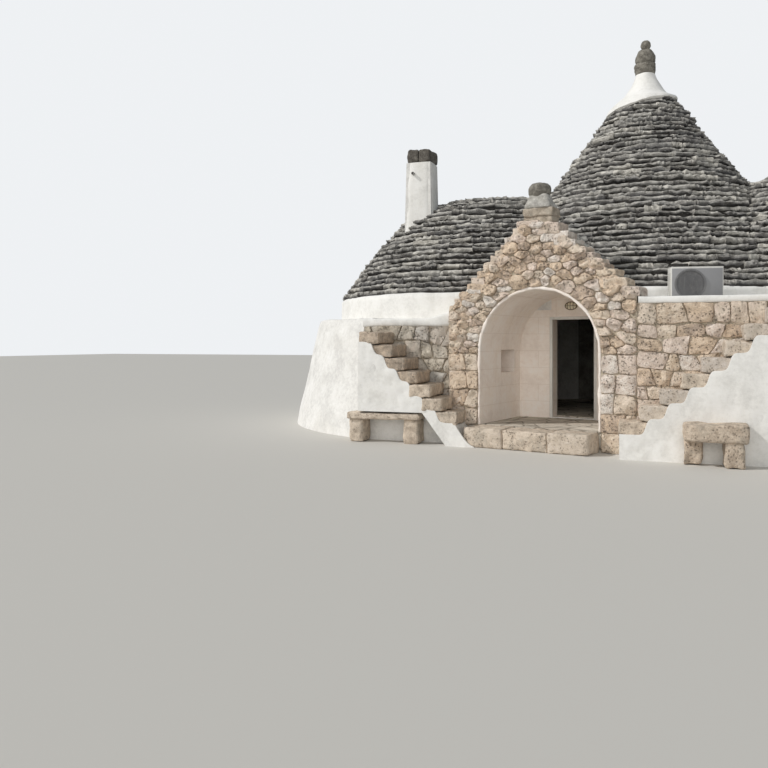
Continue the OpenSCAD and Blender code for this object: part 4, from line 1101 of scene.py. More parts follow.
# Round skin: a profile carried round an axis between two angles that may change along it;
# the outer sheet is moved out by noise, the inner one lies inside the solid wall
def roundSkin(name, centre, profile, first, last, seed, count, material, hidden=None):
    radii, heights, proud = np.array(profile, float).T
    share = np.linspace(0, 1, count)[:, None]
    angle = np.broadcast_to(first(radii)[None], (1, len(radii))) * (1 - share) + last(radii)[None] * share
    out = np.stack([np.cos(angle), np.sin(angle), 0 * angle], -1)
    spot = np.append(centre, 0.0) + out * radii[None, :, None] + upward * heights[None, :, None]
    slope = np.gradient(np.stack([radii, heights], -1), axis=0)
    slope = slope / np.linalg.norm(slope, axis=1, keepdims=True)
    normal = out * slope[None, :, 1:] - upward * slope[None, :, :1]
    lumps = (rough(spot, wash["lumpSize"], seed, 4) * wash["lumps"] +
             rough(spot, wash["grainSize"], seed + 3, 2) * wash["grain"])
    outer = spot + normal * ((lumps + wash["proud"]) * proud[None])[..., None]
    inner = spot - normal * wash["thick"]
    keep = None
    if hidden is not None:
        covered = hidden(spot)
        keep = ~(covered[:-1, :-1] & covered[1:, :-1] & covered[1:, 1:] & covered[:-1, 1:])
    verts, quads = plate(outer, inner, keep)
    makePiece(name, verts, quads, material, "limewash")


def wallProfile(foot, top, height, ledge):
    # up the leaning wall, round its upper edge and in over the ledge; the coat thins out at the foot
    edge = 0.05                                   # height of the rounding under the ledge
    rise = np.linspace(0, 1, 26)[:-1] * (height - edge)
    wall = [(foot + (top - foot) * z / height, z, min(1.0, z / 0.25)) for z in rise]
    bend = [(top - 0.035 * (1 - np.cos(t)), height - edge + edge * np.sin(t), 1.0)
            for t in np.radians([15, 40, 65, 90])]
    shelf = [(r, height, 1.0) for r in np.linspace(top - 0.07, ledge, 8)]
    return wall + bend + shelf


def reachAngle(offset):
    # the angle at which a circle of each radius meets a straight line at this distance
    return lambda radii: np.arcsin(np.clip(offset / radii, -1, 1))


def steady(degrees):
    # the same angle at every radius
    return lambda radii: np.full(len(radii), np.radians(degrees))


def bandProfile(radius, low):
    # an upright wall with an eased upper edge
    high = wash["bandTop"]
    eased = [(radius - 0.02, high + 0.02, 1.0), (radius - 0.07, high + 0.02, 1.0)]
    return [(radius, z, 1.0) for z in np.linspace(low, high, 9)] + eased


def within(centre, radius):
    # true for points nearer to an upright axis than the radius
    return lambda points: np.hypot(points[..., 0] - centre[0], points[..., 1] - centre[1]) < radius


def coveredBy(*tests):
    # true where any of the tests is
    return lambda points: np.any([test(points) for test in tests], axis=0)


def deepPorch(points):
    # anywhere in the porch's block
    return insidePorch(points, 0.0)


roundSkin("left_wall_wash", house["leftCentre"], wallProfile(4.0, 3.53, 2.0, 3.05),
          steady(58), lambda radii: np.pi + np.arccos(1.43 / radii), 71, 200, wallLimewash)
roundSkin("right_wall_wash", house["rightCentre"], wallProfile(4.0, 3.53, 2.15, 3.05),
          reachAngle(-3.31), steady(122), 72, 200, wallLimewash)
roundSkin("main_wall_wash", origin, wallProfile(3.9, 3.618, 2.15, 3.55),
          steady(47), steady(133), 73, 112, wallLimewash)

mainRoom = within(origin, 3.50)
sideRooms = [within(house[side], 3.03) for side in ("leftCentre", "rightCentre")]
roundSkin("left_band_wash", house["leftCentre"], bandProfile(wash["bandRadius"], 1.955),
          steady(40), steady(330), 74, 260, limewash, hidden=coveredBy(deepPorch, mainRoom))
roundSkin("right_band_wash", house["rightCentre"], bandProfile(wash["bandRadius"], 2.14),
          steady(-150), steady(140), 75, 260, limewash, hidden=mainRoom)
for label, start, end in (("back", 20, 160), ("front", -110, -20)):
    roundSkin("main_band_wash_" + label, origin, bandProfile(wash["mainBandRadius"], 2.14),
              steady(start), steady(end), 76, 150, limewash, hidden=coveredBy(deepPorch, *sideRooms))


# Plaster bar: a rounded oblong outline carried along x, its edges wandering with the noise;
# it may start along a slanted line and climb along its length
def plasterBar(name, node, lower, upper, seed, count, relief, startAt=None, climb=None):
    low, high = np.array(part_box(node)) + np.array([lower, upper])
    corner, rise = softSquare(np.radians(np.arange(20) * 18 + 9), 0.32).T
    x = np.linspace(low[0], high[0], count)
    y = (low[1] + high[1]) / 2 + corner * (high[1] - low[1]) / 2
    z = (low[2] + high[2]) / 2 + rise * (high[2] - low[2]) / 2
    points = np.stack(np.broadcast_arrays(x[:, None], y[None], z[None]), -1)
    points = points + roughVector(points, 0.35, seed, 3) * np.array([0.2, 1.0, 0.5]) * relief
    if startAt is not None:
        points[..., 0] = np.maximum(points[..., 0], startAt(points[..., 1]))
    if climb is not None:
        share = (points[..., 2] - low[2]) / (high[2] - low[2])
        points[..., 2] += climb(points[..., 0]) * np.clip(share, 0, 1)
    verts, polys = bar(points)
    makePiece(name, verts, polys, limewash, "limewash", replaces=(node,))


def porchSide(y):
    # where the slanted side of the porch cuts the right coping
    return -0.045 + np.maximum(y + 4.408, 0) * np.tan(-turn)


def gableRise(x):
    # how the left coping climbs up to the gable
    return 0.15 * np.clip((x + 3.45) / 0.55, 0, 1) ** 1.6


plasterBar("right_coping_wash", "right_coping", (0, -0.01, -0.012), (-0.01, 0.02, 0.012), 81, 160, 0.014,
           startAt=porchSide)
plasterBar("left_coping_wash", "left_coping", (-0.02, -0.03, -0.03), (-0.02, 0.10, 0.03), 82, 90, 0.03,
           climb=gableRise)


def terraceWash(name, low, high, seed):
    # a thin uneven coat of plaster over the flat top of a wall, closed round its rim
    u, v = np.meshgrid(np.linspace(low[0], high[0], 90), np.linspace(low[1], high[1], 20), indexing="ij")
    lumps = rough(np.stack([u, v, 0 * u], -1), 0.5, seed, 3) * 0.008
    points = np.stack([u, v, high[2] + wash["proud"] + lumps], -1)
    inner = np.stack([u, v, np.full(u.shape, high[2] - 0.02)], -1)
    verts, quads = plate(points, inner)
    makePiece(name, verts, quads, limewash, "limewash")


wallTop = np.array(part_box("right_wing_wall")[1])
terraceWash("right_terrace_wash", (0.05, -4.05), wallTop + (-0.02, 0.02, 0), 83)

# Cap and pinnacle
capStone = {"profile": [(0, 6.09), (0.55, 6.09), (0.615, 6.106), (0.64, 6.132), (0.625, 6.170), (0.59, 6.22),
                        (0.51, 6.29), (0.40, 6.38), (0.325, 6.48), (0.265, 6.58), (0.222, 6.68),
                        (0.194, 6.76), (0.186, 6.788), (0, 6.79)], "count": 84,
            # the lower edge: where it starts, its height, how it slopes and sways, what is taken off its reach
            "lip": 6.36, "lipHigh": 0.22, "slope": 0.20, "sway": 0.03, "trim": 0.05, "relief": 0.012}


def capRelief(points):
    # the lower edge hangs lower on the left and follows the cone outwards as it does so
    low = np.clip((capStone["lip"] - points[..., 2:]) / capStone["lipHigh"], 0, 1)
    sway = latticeNoise(points * np.array([3.4, 3.4, 0.01]), 91)[..., None] * capStone["sway"]
    drop = (sway + points[..., :1] * capStone["slope"]) * low
    away = points[..., :2] / np.linalg.norm(points[..., :2], axis=-1, keepdims=True)
    trim = capStone["trim"] * np.clip(points[..., :1] / 0.6, 0, 1) * low
    points = points + upward * drop
    points[..., :2] += away * (np.maximum(-drop, 0) * 0.8 - trim)
    return points + roughVector(points, 0.16, 92) * capStone["relief"]


verts, polys = turned(capStone["profile"], origin, capStone["count"], capRelief)
makePiece("cap_wash", verts, polys, limewash, "limewash", replaces=("main_cap",))


# Weathered turned stone: a profile of shares of the solid's radius and height
def turnedStone(name, node, seed, relief, material, slotName, profile, count=44, size=0.07):
    low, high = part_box(node)
    centre = (np.array(low[:2]) + np.array(high[:2])) / 2
    radius = (high[0] - low[0]) / 2
    profile = [(r * radius, low[2] + h * (high[2] - low[2])) for r, h in profile]
    verts, polys = turned(profile, centre, count, lambda p: p + roughVector(p, size, seed) * relief +
                          roughVector(p, size * 3, seed + 1) * relief)
    makePiece(name, verts, polys, material, slotName, replaces=(node,), sharp=0.7)


turnedStone("pinnacle_drum_stone", "pinnacle_drum", 101, 0.012, pinnacleStone, "pinnacle",
            [(0, -0.03), (0.80, -0.03), (0.84, 0.06), (0.90, 0.25), (0.97, 0.44), (0.93, 0.50), (0.95, 0.56),
             (0.98, 0.78), (0.93, 0.93), (0.80, 0.99), (0, 1.0)])
turnedStone("pinnacle_bulb_stone", "pinnacle_bulb", 103, 0.012, pinnacleStone, "pinnacle",
            [(0, -0.02), (0.82, -0.02), (0.92, 0.06), (0.985, 0.20), (1.0, 0.36), (0.98, 0.52), (0.92, 0.64),
             (0.90, 0.68), (0.84, 0.76), (0.70, 0.88), (0.48, 0.97), (0.3, 1.0), (0, 1.0)])
turnedStone("pinnacle_ball_stone", "pinnacle_ball", 105, 0.006, pinnacleStone, "pinnacle",
            [(0, -0.05), (0.62, -0.04), (0.82, 0.12), (0.97, 0.34), (0.98, 0.52), (0.90, 0.70), (0.70, 0.87),
             (0.40, 0.965), (0, 0.99)], count=32, size=0.05)

# Finial
finial = {
    "spot": (-0.03, 0.2),
    "plinth": [(-0.13, 0.2, 3.465), (0.10, 0.2, 3.465), (0.0, 0.2, 3.575)],
    "plinthHalves": [(0.115, 0.15, 0.048), (0.125, 0.155, 0.048), (0.235, 0.175, 0.066)],
    # half width, half depth and height, from the collar's foot up
    "collar": [(0.20, 0.175, 3.638), (0.214, 0.188, 3.65), (0.212, 0.186, 3.69), (0.19, 0.17, 3.73),
               (0.168, 0.152, 3.77), (0.156, 0.142, 3.81), (0.152, 0.139, 3.836), (0.14, 0.128, 3.846)],
}
finialSpot = porchPoint(*finial["spot"], 0.0)
verts, polys = blocks(porchPoint(*np.array(finial["plinth"]).T), finial["plinthHalves"], squareAxes(turn),
                      0.016, 111, grid=8, relief=0.012, size=0.08)
makePiece("finial_plinth_stones", verts, polys, tufo, "tufo", replaces=("finial_plinth",))


def flaredBlock(centre, profile, seed, relief, count=48):
    # a squared ring with soft corners whose half widths change with height, closed by flat ends
    square = softSquare(fullTurn(count), 0.35)
    halfX, halfY, height = np.array(profile).T
    points = (centre + upward * height[:, None, None] + square[None, :, :1] * halfX[:, None, None] * porchX +
              square[None, :, 1:] * halfY[:, None, None] * porchY)
    return bar(points + roughVector(points, 0.09, seed) * relief)


verts, polys = flaredBlock(finialSpot + porchX * 0.015, finial["collar"], 113, 0.009)
makePiece("finial_collar_stone", verts, polys, collarStone, "tufo", replaces=("finial_collar",))
turnedStone("finial_dome_stone", "finial_dome", 115, 0.010, pinnacleStone, "tufo",
            [(0, -0.05), (0.86, -0.04), (0.95, 0.12), (1.0, 0.34), (0.97, 0.55), (0.86, 0.74), (0.65, 0.89),
             (0.35, 0.975), (0, 0.99)])
print("walls, cap and finials made")


# Stairs, step and benches
def stoneRow(name, node, boxes, tones, radius, relief, seed, slotName="tread", porchWise=False):
    # rounded rough blocks, each given by its lowest and highest corner, square to the walls or the porch
    boxes = np.array(boxes, float)
    centres, halves = boxes.mean(axis=1), (boxes[:, 1] - boxes[:, 0]) / 2
    if porchWise:
        centres = porchPoint(*centres.T)
    verts, polys = blocks(centres, halves, squareAxes(turn if porchWise else 0.0), radius, seed, grid=8,
                          relief=relief, size=0.11)
    makePiece(name, verts, polys, treadStone, slotName, replaces=(node,),
              tone=np.repeat(tones, verts.shape[1]))


# each stair: x of its lowest edge, run and height of a step, height and length of the first tread,
# y of its front and back, and the plastered flank: its y, its first height and the reach past the stair
leftStair = {"nose": -2.65, "going": 0.211, "rise": 0.207, "first": 0.532, "long": 0.33, "count": 7,
             "front": -4.424, "back": -3.604, "wash": -4.394, "washFirst": 0.355, "end": -4.262,
             "toe": 0.28, "tones": (0.62, 0.6, 0.55, 0.3, 0.2, 0.25, 0.35)}
rightStair = {"nose": -0.22, "going": 0.26, "rise": 0.22, "first": 0.527, "long": 0.38, "count": 8,
              "front": -4.888, "back": -4.408, "wash": -4.892, "washFirst": 0.362, "past": 0.395,
              "tones": (0.5, 0.7, 0.85, 0.6, 0.9, 0.7, 0.8, 0.9)}


def stairBoxes(stair, side, rng):
    # one tread after another, each a going further along and a rise higher, its edges a little uneven
    step = np.arange(stair["count"])
    nose = stair["nose"] + side * step * stair["going"] - side * rng.uniform(-0.01, 0.025, len(step))
    tail = stair["nose"] + side * (step * stair["going"] + stair["long"])
    top = stair["first"] + step * stair["rise"]
    front = stair["front"] + rng.uniform(0.0, 0.05, len(step))
    low = np.stack([np.minimum(nose, tail), front, top - stair["rise"] + 0.004], -1)
    high = np.stack([np.maximum(nose, tail), np.full(len(step), stair["back"]), top - 0.012], -1)
    return np.stack([low, high], 1)


stairRng = np.random.default_rng(121)
stoneRow("left_tread_stones", "left_treads", stairBoxes(leftStair, -1, stairRng), leftStair["tones"],
         0.022, 0.016, 122)
stoneRow("right_tread_stones", "right_treads", stairBoxes(rightStair, 1, stairRng), rightStair["tones"],
         0.02, 0.015, 123)
singleStones = {
    "porch_step_stones": {
        "node": "porch_step", "tones": (0.66, 0.6, 0.7), "radius": 0.024, "relief": 0.015, "seed": 124,
        "slotName": "paving", "porchWise": True,
        "boxes": [[(-1.0, -0.5, 0), (-0.36, 0.0, 0.296)], [(-0.35, -0.49, 0), (0.34, 0.0, 0.29)],
                  [(0.35, -0.5, 0), (0.95, 0.0, 0.296)]]},
    "right_bench_stones": {
        "node": "right_bench", "tones": (0.45, 0.5, 0.4), "radius": 0.03, "relief": 0.016, "seed": 125,
        "boxes": [[(0.58, -5.285, 0.325), (1.35, -4.89, 0.548)], [(1.06, -5.25, 0.0), (1.30, -4.89, 0.33)],
                  [(0.59, -5.07, 0.0), (0.81, -4.89, 0.33)]]},
    "left_bench_stones": {
        "node": "left_bench", "tones": (0.6, 0.62, 0.55), "radius": 0.03, "relief": 0.014, "seed": 126,
        "boxes": [[(-4.46, -4.40, 0.372), (-3.24, -4.006, 0.474)],
                  [(-4.43, -4.36, 0.0), (-4.19, -4.006, 0.375)],
                  [(-3.51, -4.36, 0.0), (-3.27, -4.006, 0.375)]]},
}
for label, given in singleStones.items():
    stoneRow(label, **given)


flank = {"rows": 22, "upright": 0.893, "rollBack": 0.055, "thick": 0.075, "proud": 0.010, "lumps": 0.012,
         "grain": 0.003}


def stairWash(name, xs, bottom, top, front, seed):
    # a plastered flank: the upper edge follows the steps in soft waves and rolls back over them
    share = np.linspace(0, 1, flank["rows"])[None, :]
    z = bottom[:, None] + (top - bottom)[:, None] * np.minimum(share * 1.12, 1.0)
    over = np.maximum(share - flank["upright"], 0) / (1 - flank["upright"])    # 0 to 1 over the last rows
    y = front + flank["rollBack"] * over ** 1.5
    points = np.stack(np.broadcast_arrays(xs[:, None], y, z), -1)
    lumps = rough(points, 0.4, seed, 3) * flank["lumps"] + rough(points, 0.1, seed + 2, 2) * flank["grain"]
    outer = points - np.array([0, 1.0, 0]) * (lumps + flank["proud"])[..., None]
    inner = points.copy()
    inner[..., 1] = front + flank["thick"]
    inner[..., 2] -= 0.02 * over
    verts, quads = plate(outer, inner)
    makePiece(name, verts, quads, limewash, "limewash")


def softSteps(x, edges, rise, width):
    # a rise at each edge, as a smooth step that takes about two widths
    return rise * sum(0.5 + 0.5 * np.tanh((x - edge) / width) for edge in edges)


def waves(x, seed, height):
    # noise along the edge, four cells a metre
    return latticeNoise(np.stack([x * 4.0, 0 * x, 0 * x], -1), seed) * height


stair = rightStair
rises = np.arange(stair["count"] - 1) * stair["going"]
along = np.linspace(stair["nose"] - 0.01, stair["nose"] + rises[-1] + stair["going"] + stair["past"], 220)
edges = stair["nose"] + stair["long"] + rises - 0.05
top = stair["washFirst"] + softSteps(along, edges, stair["rise"], 0.035) + waves(along, 131, 0.022)
stairWash("right_stair_wash", along, np.zeros(len(along)), top, stair["wash"], 132)

stair = leftStair
along = np.linspace(stair["end"], stair["nose"] + stair["toe"], 170)
edges = stair["nose"] - stair["long"] - np.arange(stair["count"] - 1) * stair["going"] + 0.03
steps = stair["washFirst"] + softSteps(-along, -edges, stair["rise"], 0.04)
toe = np.clip((stair["nose"] + stair["toe"] - along) / 0.30, 0, 1)
top = np.where(along > stair["nose"] - 0.02, 0.012 + 0.34 * toe ** 1.7, steps)
top = top + waves(along, 133, 0.02) * toe
hollow = np.interp(along, [-3.19, stair["nose"] - 0.16], [0.50, 0.0])      # the hollow behind the bench
stairWash("left_stair_wash", along, np.minimum(hollow, top - 0.01), top, stair["wash"], 134)
print("stairs and benches made")

# Chimney
chimney = {"foot": 0.555, "top": 0.48, "low": 3.36, "high": 5.07, "flareFrom": 4.1, "flare": 0.05,
           "around": 64, "rows": 46, "proud": 0.012, "thick": 0.06, "lumps": 0.020, "lumpSize": 0.45,
           "capStones": [(-4.243, -1.38, 5.195), (-3.998, -1.38, 5.19)],
           "capHalves": [(0.105, 0.235, 0.13), (0.11, 0.235, 0.125)], "capTurns": (0.05, -0.06),
           "pipe": {"centre": (-4.21, 0.0, 4.85), "start": -1.60, "end": -1.708, "radius": 0.03,
                    "wall": 0.006}}


def chimneyWash():
    # a squared ring with soft corners, carried up the stack and flared where it meets the slates
    ring = softSquare(fullTurn(chimney["around"]), 0.42)
    height = np.linspace(chimney["low"], chimney["high"], chimney["rows"])
    half = np.linspace(chimney["foot"], chimney["top"], chimney["rows"]) / 2 + chimney["proud"]
    flare = np.clip((chimney["flareFrom"] - height) / 0.7, 0, 1) ** 2 * chimney["flare"]
    flat = chimneySpot + ring[:, None] * (half + flare)[None, :, None]
    outer = np.concatenate([flat, np.broadcast_to(height[None, :, None], flat.shape[:2] + (1,))], -1)
    centre = np.append(chimneySpot, 0.0)
    away = (outer - centre) * np.array([1, 1, 0])
    away = away / np.linalg.norm(away, axis=-1, keepdims=True)
    outer = outer + away * (rough(outer, chimney["lumpSize"], 141, 3) * chimney["lumps"])[..., None]
    inner = chimneySpot + ring[:, None] * (half - chimney["thick"])[None, :, None]
    inner = np.concatenate([inner, outer[..., 2:]], -1)
    verts, quads = plate(outer, inner, wrap=True)
    makePiece("chimney_wash", verts, quads, limewash, "limewash")


chimneyWash()
verts, polys = blocks(chimney["capStones"], chimney["capHalves"],
                      np.stack([squareAxes(angle) for angle in chimney["capTurns"]]), 0.03, 143, grid=8,
                      relief=0.022, size=0.14)
makePiece("chimney_cap_stones", verts, polys, sootStone, "pinnacle", replaces=("chimney_cap",))


def hollowTube(centre, start, end, radius, wall):
    # a short pipe: a section through its wall, carried round the y axis
    turns = fullTurn(32)
    ring = np.stack([np.cos(turns), 0 * turns, np.sin(turns)], -1)
    section = np.array([(start, radius), (end + 0.004, radius), (end, radius - 0.003),
                        (end, radius - wall), (start, radius - wall)])
    y, reach = section.T[..., None, None]
    return hoop(np.array(centre) + ring[None] * reach + y * np.array([0, 1.0, 0]))


verts, polys = hollowTube(**chimney["pipe"])
makePiece("chimney_pipe_stub", verts, polys, pipePaint, "pipe", replaces=("chimney_pipe",))


# Door
door = {"leafTurn": -85.0, "leafHalf": 0.38, "leafLow": 0.328, "leafHigh": 1.998, "hingeY": 1.669,
        "thick": 0.036, "planks": 6, "groove": (0.0012, 0.006, 0.62), "ledges": (0.62, 1.66, 1.14),
        "ledgeHalf": (0.33, 0.008, 0.05),
        # plate, neck and grip of the handle: place along, off and up the face, and half sizes
        "handle": [((-0.70, 0.004, 1.30), (0.018, 0.004, 0.09)), ((-0.70, 0.022, 1.34), (0.009, 0.018, 0.009)),
                   ((-0.655, 0.036, 1.34), (0.055, 0.006, 0.009))],
        # left, right, lower and upper edge of each bar of the frame
        "frame": [(-0.409, -0.361, 0.30, 2.03), (0.361, 0.409, 0.30, 2.03), (-0.362, 0.362, 1.982, 2.029),
                  (-0.362, 0.362, 0.301, 0.319)]}


def frameBar(left, right, low, high):
    # a jamb, the head or the threshold, its corners eased
    return blocks([porchPoint((left + right) / 2, house["nicheDepth"] + 0.019, (low + high) / 2)],
                  [((right - left) / 2, 0.020, (high - low) / 2)], squareAxes(turn), 0.005, 151, grid=6,
                  relief=0.0008, size=0.05)


verts, polys = together([frameBar(*edges) for edges in door["frame"]])
makePiece("door_frame_bars", verts, polys, whitePaint, "white_paint", replaces=("door_frame",))


def leafPoint(s, t, z):
    # along the leaf from its hinge, through its thickness, and up, at rest in the open place
    angle = np.radians(door["leafTurn"])
    x = door["leafHalf"] + np.cos(angle) * s - np.sin(angle) * t
    y = door["hingeY"] + np.sin(angle) * s + np.cos(angle) * t
    return porchPoint(x, y, z)


def leafPlanks():
    # upright planks side by side: a thin groove runs between each pair on both faces
    edges = np.linspace(-2 * door["leafHalf"] + 0.001, -0.012, door["planks"] + 1)
    bottom, top, depth = door["groove"]
    shape = []
    for left, right in zip(edges[:-1], edges[1:]):
        shape += [(left + bottom, depth), (left + top, 1.0), (right - top, 1.0), (right - bottom, depth)]
    s, t = np.array(shape).T
    half = door["thick"] / 2 - 0.001
    outline = np.concatenate([np.stack([s, t * half], -1), np.stack([s, -t * half], -1)[::-1]])
    z = np.linspace(door["leafLow"] + 0.001, door["leafHigh"] - 0.001, 24)
    verts, polys = bar(leafPoint(outline[None, :, 0], outline[None, :, 1], z[:, None]))
    makePiece("door_leaf_planks", verts, polys, leafPaint, "leaf_wood", body="door", replaces=("door_leaf",))
    # three ledges across the inner face, and a lever handle with its plate on both faces
    axes = squareAxes(turn + np.radians(door["leafTurn"]))
    ledges = leafPoint(-0.38, half + 0.008, np.array(door["ledges"]))
    verts, polys = blocks(ledges, [door["ledgeHalf"]] * len(ledges), axes, 0.004, 153, grid=4,
                          relief=0.0008, size=0.05)
    makePiece("door_leaf_ledges", verts, polys, leafPaint, "leaf_wood", body="door")
    spots = [(s, side * (base + off), z) for side, base in ((-1, half), (1, half + 0.016))
             for (s, off, z), size in door["handle"]]
    halves = [size for spot, size in door["handle"]] * 2
    verts, polys = blocks(leafPoint(*np.array(spots).T), halves, axes, 0.006, 155, grid=6, relief=0.0)
    makePiece("door_handle", verts, polys, hingeIron, "hinge_iron", body="door")


leafPlanks()

lampShape = {
    "spot": (-0.02, 2.21), "halfWide": 0.11, "halfHigh": 0.07,
    # rings of the bowl: share of its width, and how far each stands forward
    "bowl": [(1.0, 0.0), (1.0, 0.018), (0.96, 0.022), (0.86, 0.022), (0.84, 0.034), (0.74, 0.050),
             (0.55, 0.061), (0.30, 0.067), (0.10, 0.069)],
    "bars": [(-0.05, True), (0.0, True), (0.05, True), (0.0, False)],      # offset, upright or level
    "barRadius": 0.004, "cageHalf": (0.104, 0.066), "cageDeep": 0.052, "cageFrom": 0.020,
    "rimHalf": (0.100, 0.062), "rimForward": 0.026, "rimThick": (0.010, 0.008),
}


def lamp():
    # an oval bowl: rings that shrink towards the front, and a cage of round bars over it
    centre = porchPoint(lampShape["spot"][0], house["nicheDepth"], lampShape["spot"][1])
    turns, circle = fullTurn(48), fullTurn(8)
    share, forward = np.array(lampShape["bowl"]).T[..., None, None]
    ring = (np.cos(turns)[:, None] * porchX * lampShape["halfWide"] +
            np.sin(turns)[:, None] * upward * lampShape["halfHigh"])
    verts, polys = bar(centre + ring[None] * share - porchY * forward)
    makePiece("lamp_bowl", verts, polys, lampShell, "lamp_shell", replaces=("door_lamp",))
    parts = []
    for offset, upright in lampShape["bars"]:
        bend = np.linspace(-1, 1, 17)
        wide, tall = lampShape["cageHalf"]
        reach = tall * np.sqrt(1 - (offset / 0.1) ** 2) if upright else wide
        high = np.sqrt(np.maximum(1 - bend ** 2, 0)) * lampShape["cageDeep"] + lampShape["cageFrom"]
        main = upward if upright else porchX
        other = porchX if upright else upward
        spine = centre + bend[:, None] * reach * main + offset * other - high[:, None] * porchY
        around = (np.cos(circle)[:, None] * other - np.sin(circle)[:, None] * porchY) * lampShape["barRadius"]
        parts.append(bar(spine[:, None] + around[None]))
    (wide, tall), (broad, deep) = lampShape["rimHalf"], lampShape["rimThick"]
    rim = centre + np.cos(turns)[:, None] * porchX * wide + np.sin(turns)[:, None] * upward * tall
    rim = rim - porchY * lampShape["rimForward"]
    outward = (rim - centre) / np.linalg.norm(rim - centre, axis=1, keepdims=True)
    parts.append(hoop(rim[:, None] + np.cos(circle)[None, :, None] * outward[:, None] * broad -
                      np.sin(circle)[None, :, None] * porchY * deep))
    verts, polys = together(parts)
    makePiece("lamp_cage", verts, polys, lampCage, "lamp_shell")


lamp()

# Unit on the terrace
unit = {
    "corner": (0.435, -3.988, 2.15), "turn": 10.0,
    # centres and half sizes of the case, its two feet and its lid, in the unit's own directions
    "centres": [(0.36, 0.135, 0.285), (0.09, 0.135, 0.021), (0.63, 0.135, 0.021), (0.36, 0.135, 0.524)],
    "halves": [(0.357, 0.132, 0.243), (0.03, 0.13, 0.021), (0.03, 0.13, 0.021), (0.359, 0.134, 0.008)],
    "louvres": np.arange(0.14, 0.46, 0.028), "hub": (0.265, -0.002, 0.285),
    "rings": [(0.03, 0.0022), (0.06, 0.0022), (0.09, 0.0022), (0.12, 0.0022), (0.15, 0.0022), (0.18, 0.0022),
              (0.208, 0.006)],                    # radius and thickness of each wire
    "spoke": 0.003, "spokes": 6, "well": [(0.205, 0.001), (0.205, 0.004), (0.12, 0.0035)],
    # the grey sheet of painted shade over the front: its centre and half sizes
    "panel": (0.36, 0.001, 0.280), "panelHalf": (0.345, 0.003, 0.228), "louvreHalf": (0.005, 0.10, 0.008),
}


def terraceUnit():
    # rounded panels and louvres, a grey sheet of painted shade over the front, then the fan: rings and spokes
    # of wire before a dark flat opening
    axes = squareAxes(np.radians(unit["turn"]))
    corner = np.array(unit["corner"])
    louvres = [(-0.001, 0.135, z) for z in unit["louvres"]]
    centres = corner + np.array(unit["centres"] + louvres) @ axes
    halves = unit["halves"] + [unit["louvreHalf"]] * len(louvres)
    verts, polys = blocks(centres, halves, axes, 0.008, 161, grid=4, relief=0.0012, size=0.2)
    makePiece("unit_case_panels", verts, polys, casePaint, "case_metal", replaces=("unit_case",))
    # a thin grey sheet of painted shade over the white front
    verts, polys = blocks([corner + np.array(unit["panel"]) @ axes], [unit["panelHalf"]], axes, 0.002, 162,
                          grid=4, relief=0.0008, size=0.2)
    makePiece("unit_front_shade_sheet", verts, polys, panelShadeGrey, "case_metal")
    hub = corner + np.array(unit["hub"]) @ axes
    across, out = axes[0], -axes[1]
    turns, circle = fullTurn(64), fullTurn(6)
    cosine, sine = np.cos(circle)[None, :, None], np.sin(circle)[None, :, None]
    around = np.cos(turns)[:, None] * across + np.sin(turns)[:, None] * upward
    parts = [hoop(hub + around[:, None] * (radius + cosine * thick) + out * (0.012 + sine * thick))
             for radius, thick in unit["rings"]]
    for angle in fullTurn(unit["spokes"]):
        way = np.cos(angle) * across + np.sin(angle) * upward
        spine = hub + np.linspace(0.01, unit["rings"][-1][0], 5)[:, None] * way + out * 0.013
        parts.append(bar(spine[:, None] + (cosine * np.cross(way, out) + sine * out) * unit["spoke"]))
    verts, polys = together(parts)
    makePiece("unit_fan_guard", verts, polys, fanPlastic, "fan_ring")
    reach, forward = np.array(unit["well"]).T[..., None, None]
    verts, polys = bar(hub + around[None] * reach + out * forward)
    makePiece("unit_fan_well", verts, polys, fanPlastic, "fan_ring")


terraceUnit()
print("door, lamp and terrace unit made")

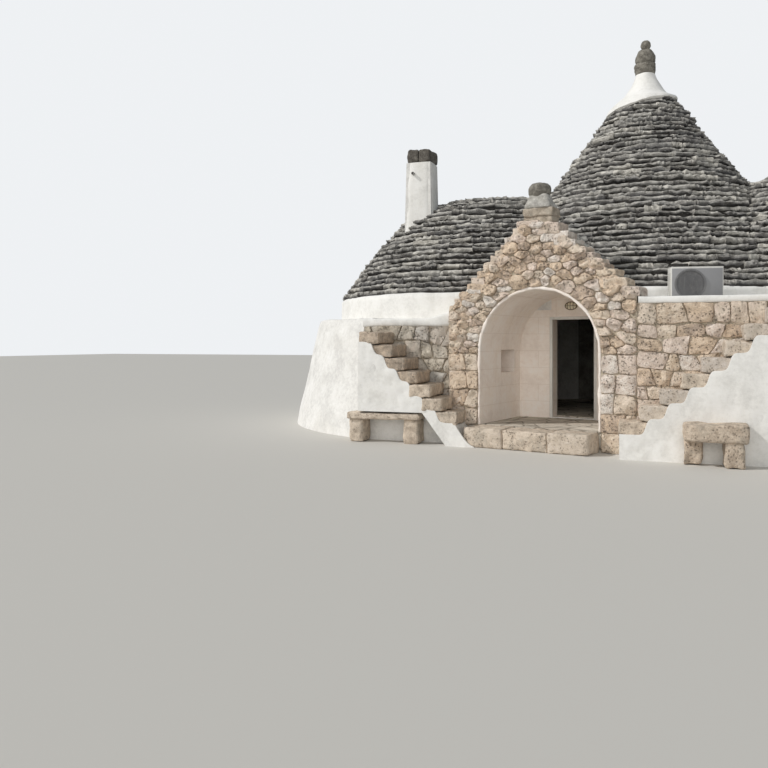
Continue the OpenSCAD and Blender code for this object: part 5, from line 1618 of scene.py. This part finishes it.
# Stage, light and camera
stage = {"half": 70.0, "floor": (0.64, 0.62, 0.58), "sky": (0.86, 0.88, 0.90), "fill": (0.84, 0.92, 1.0),
         "fillStrength": 0.30}
lamps = {
    "sun": {"energy": 2.2, "angle": 0.06, "colour": (1.0, 0.975, 0.94), "from": (-0.69, -0.33, 0.644)},
    "glow": {"energy": 0.95, "angle": 0.9, "colour": (1.0, 0.96, 0.90), "from": (0.10, -0.98, 0.16)},
}
photoView = {"place": (0.35, -15.84, 1.6), "turn": 20.0, "lens": 36.14, "shift": -0.0547, "reach": 300.0}

half = stage["half"]
floorMesh = bpy.data.meshes.new("floor")
floorMesh.from_pydata([(-half, -half, 0), (half, -half, 0), (half, half, 0), (-half, half, 0)], [],
                      [(0, 1, 2, 3)])
floor = addObject("floor", floorMesh)
floorMaterial = bpy.data.materials.new("floor")
floorMaterial.use_nodes = True
floorSurface = floorMaterial.node_tree.nodes["Principled BSDF"]
floorSurface.inputs["Base Color"].default_value = (*stage["floor"], 1.0)
floorSurface.inputs["Roughness"].default_value = 0.9
floorMesh.materials.append(floorMaterial)

world = bpy.data.worlds.new("studio")
bpy.context.scene.world = world
world.use_nodes = True
tree = world.node_tree
tree.nodes.clear()
output = tree.nodes.new("ShaderNodeOutputWorld")
fill = addNode(tree, "ShaderNodeBackground", Color=(*stage["fill"], 1.0), Strength=stage["fillStrength"])
seen = addNode(tree, "ShaderNodeBackground", Color=(*stage["sky"], 1.0), Strength=1.0)
path = tree.nodes.new("ShaderNodeLightPath")
mixer = tree.nodes.new("ShaderNodeMixShader")
tree.links.new(path.outputs["Is Camera Ray"], mixer.inputs["Fac"])
tree.links.new(fill.outputs["Background"], mixer.inputs[1])
tree.links.new(seen.outputs["Background"], mixer.inputs[2])
tree.links.new(mixer.outputs["Shader"], output.inputs["Surface"])

for lampName, given in lamps.items():
    light = bpy.data.lights.new(lampName, "SUN")
    light.energy, light.angle, light.color = given["energy"], given["angle"], given["colour"]
    addObject(lampName, light).rotation_euler = Vector(given["from"]).to_track_quat("Z", "Y").to_euler()

cameraData = bpy.data.cameras.new("camera")
cameraData.lens = photoView["lens"]
cameraData.sensor_width = 36.0
cameraData.shift_y = photoView["shift"]
cameraData.clip_end = photoView["reach"]
camera = addObject("camera", cameraData)
camera.location = photoView["place"]
camera.rotation_euler = (np.radians(90), 0.0, np.radians(photoView["turn"]))
bpy.context.scene.camera = camera
bpy.context.scene.view_settings.view_transform = "Standard"

print("box of the solids", [round(v, 3) for v in (*cadLow, *cadHigh)])
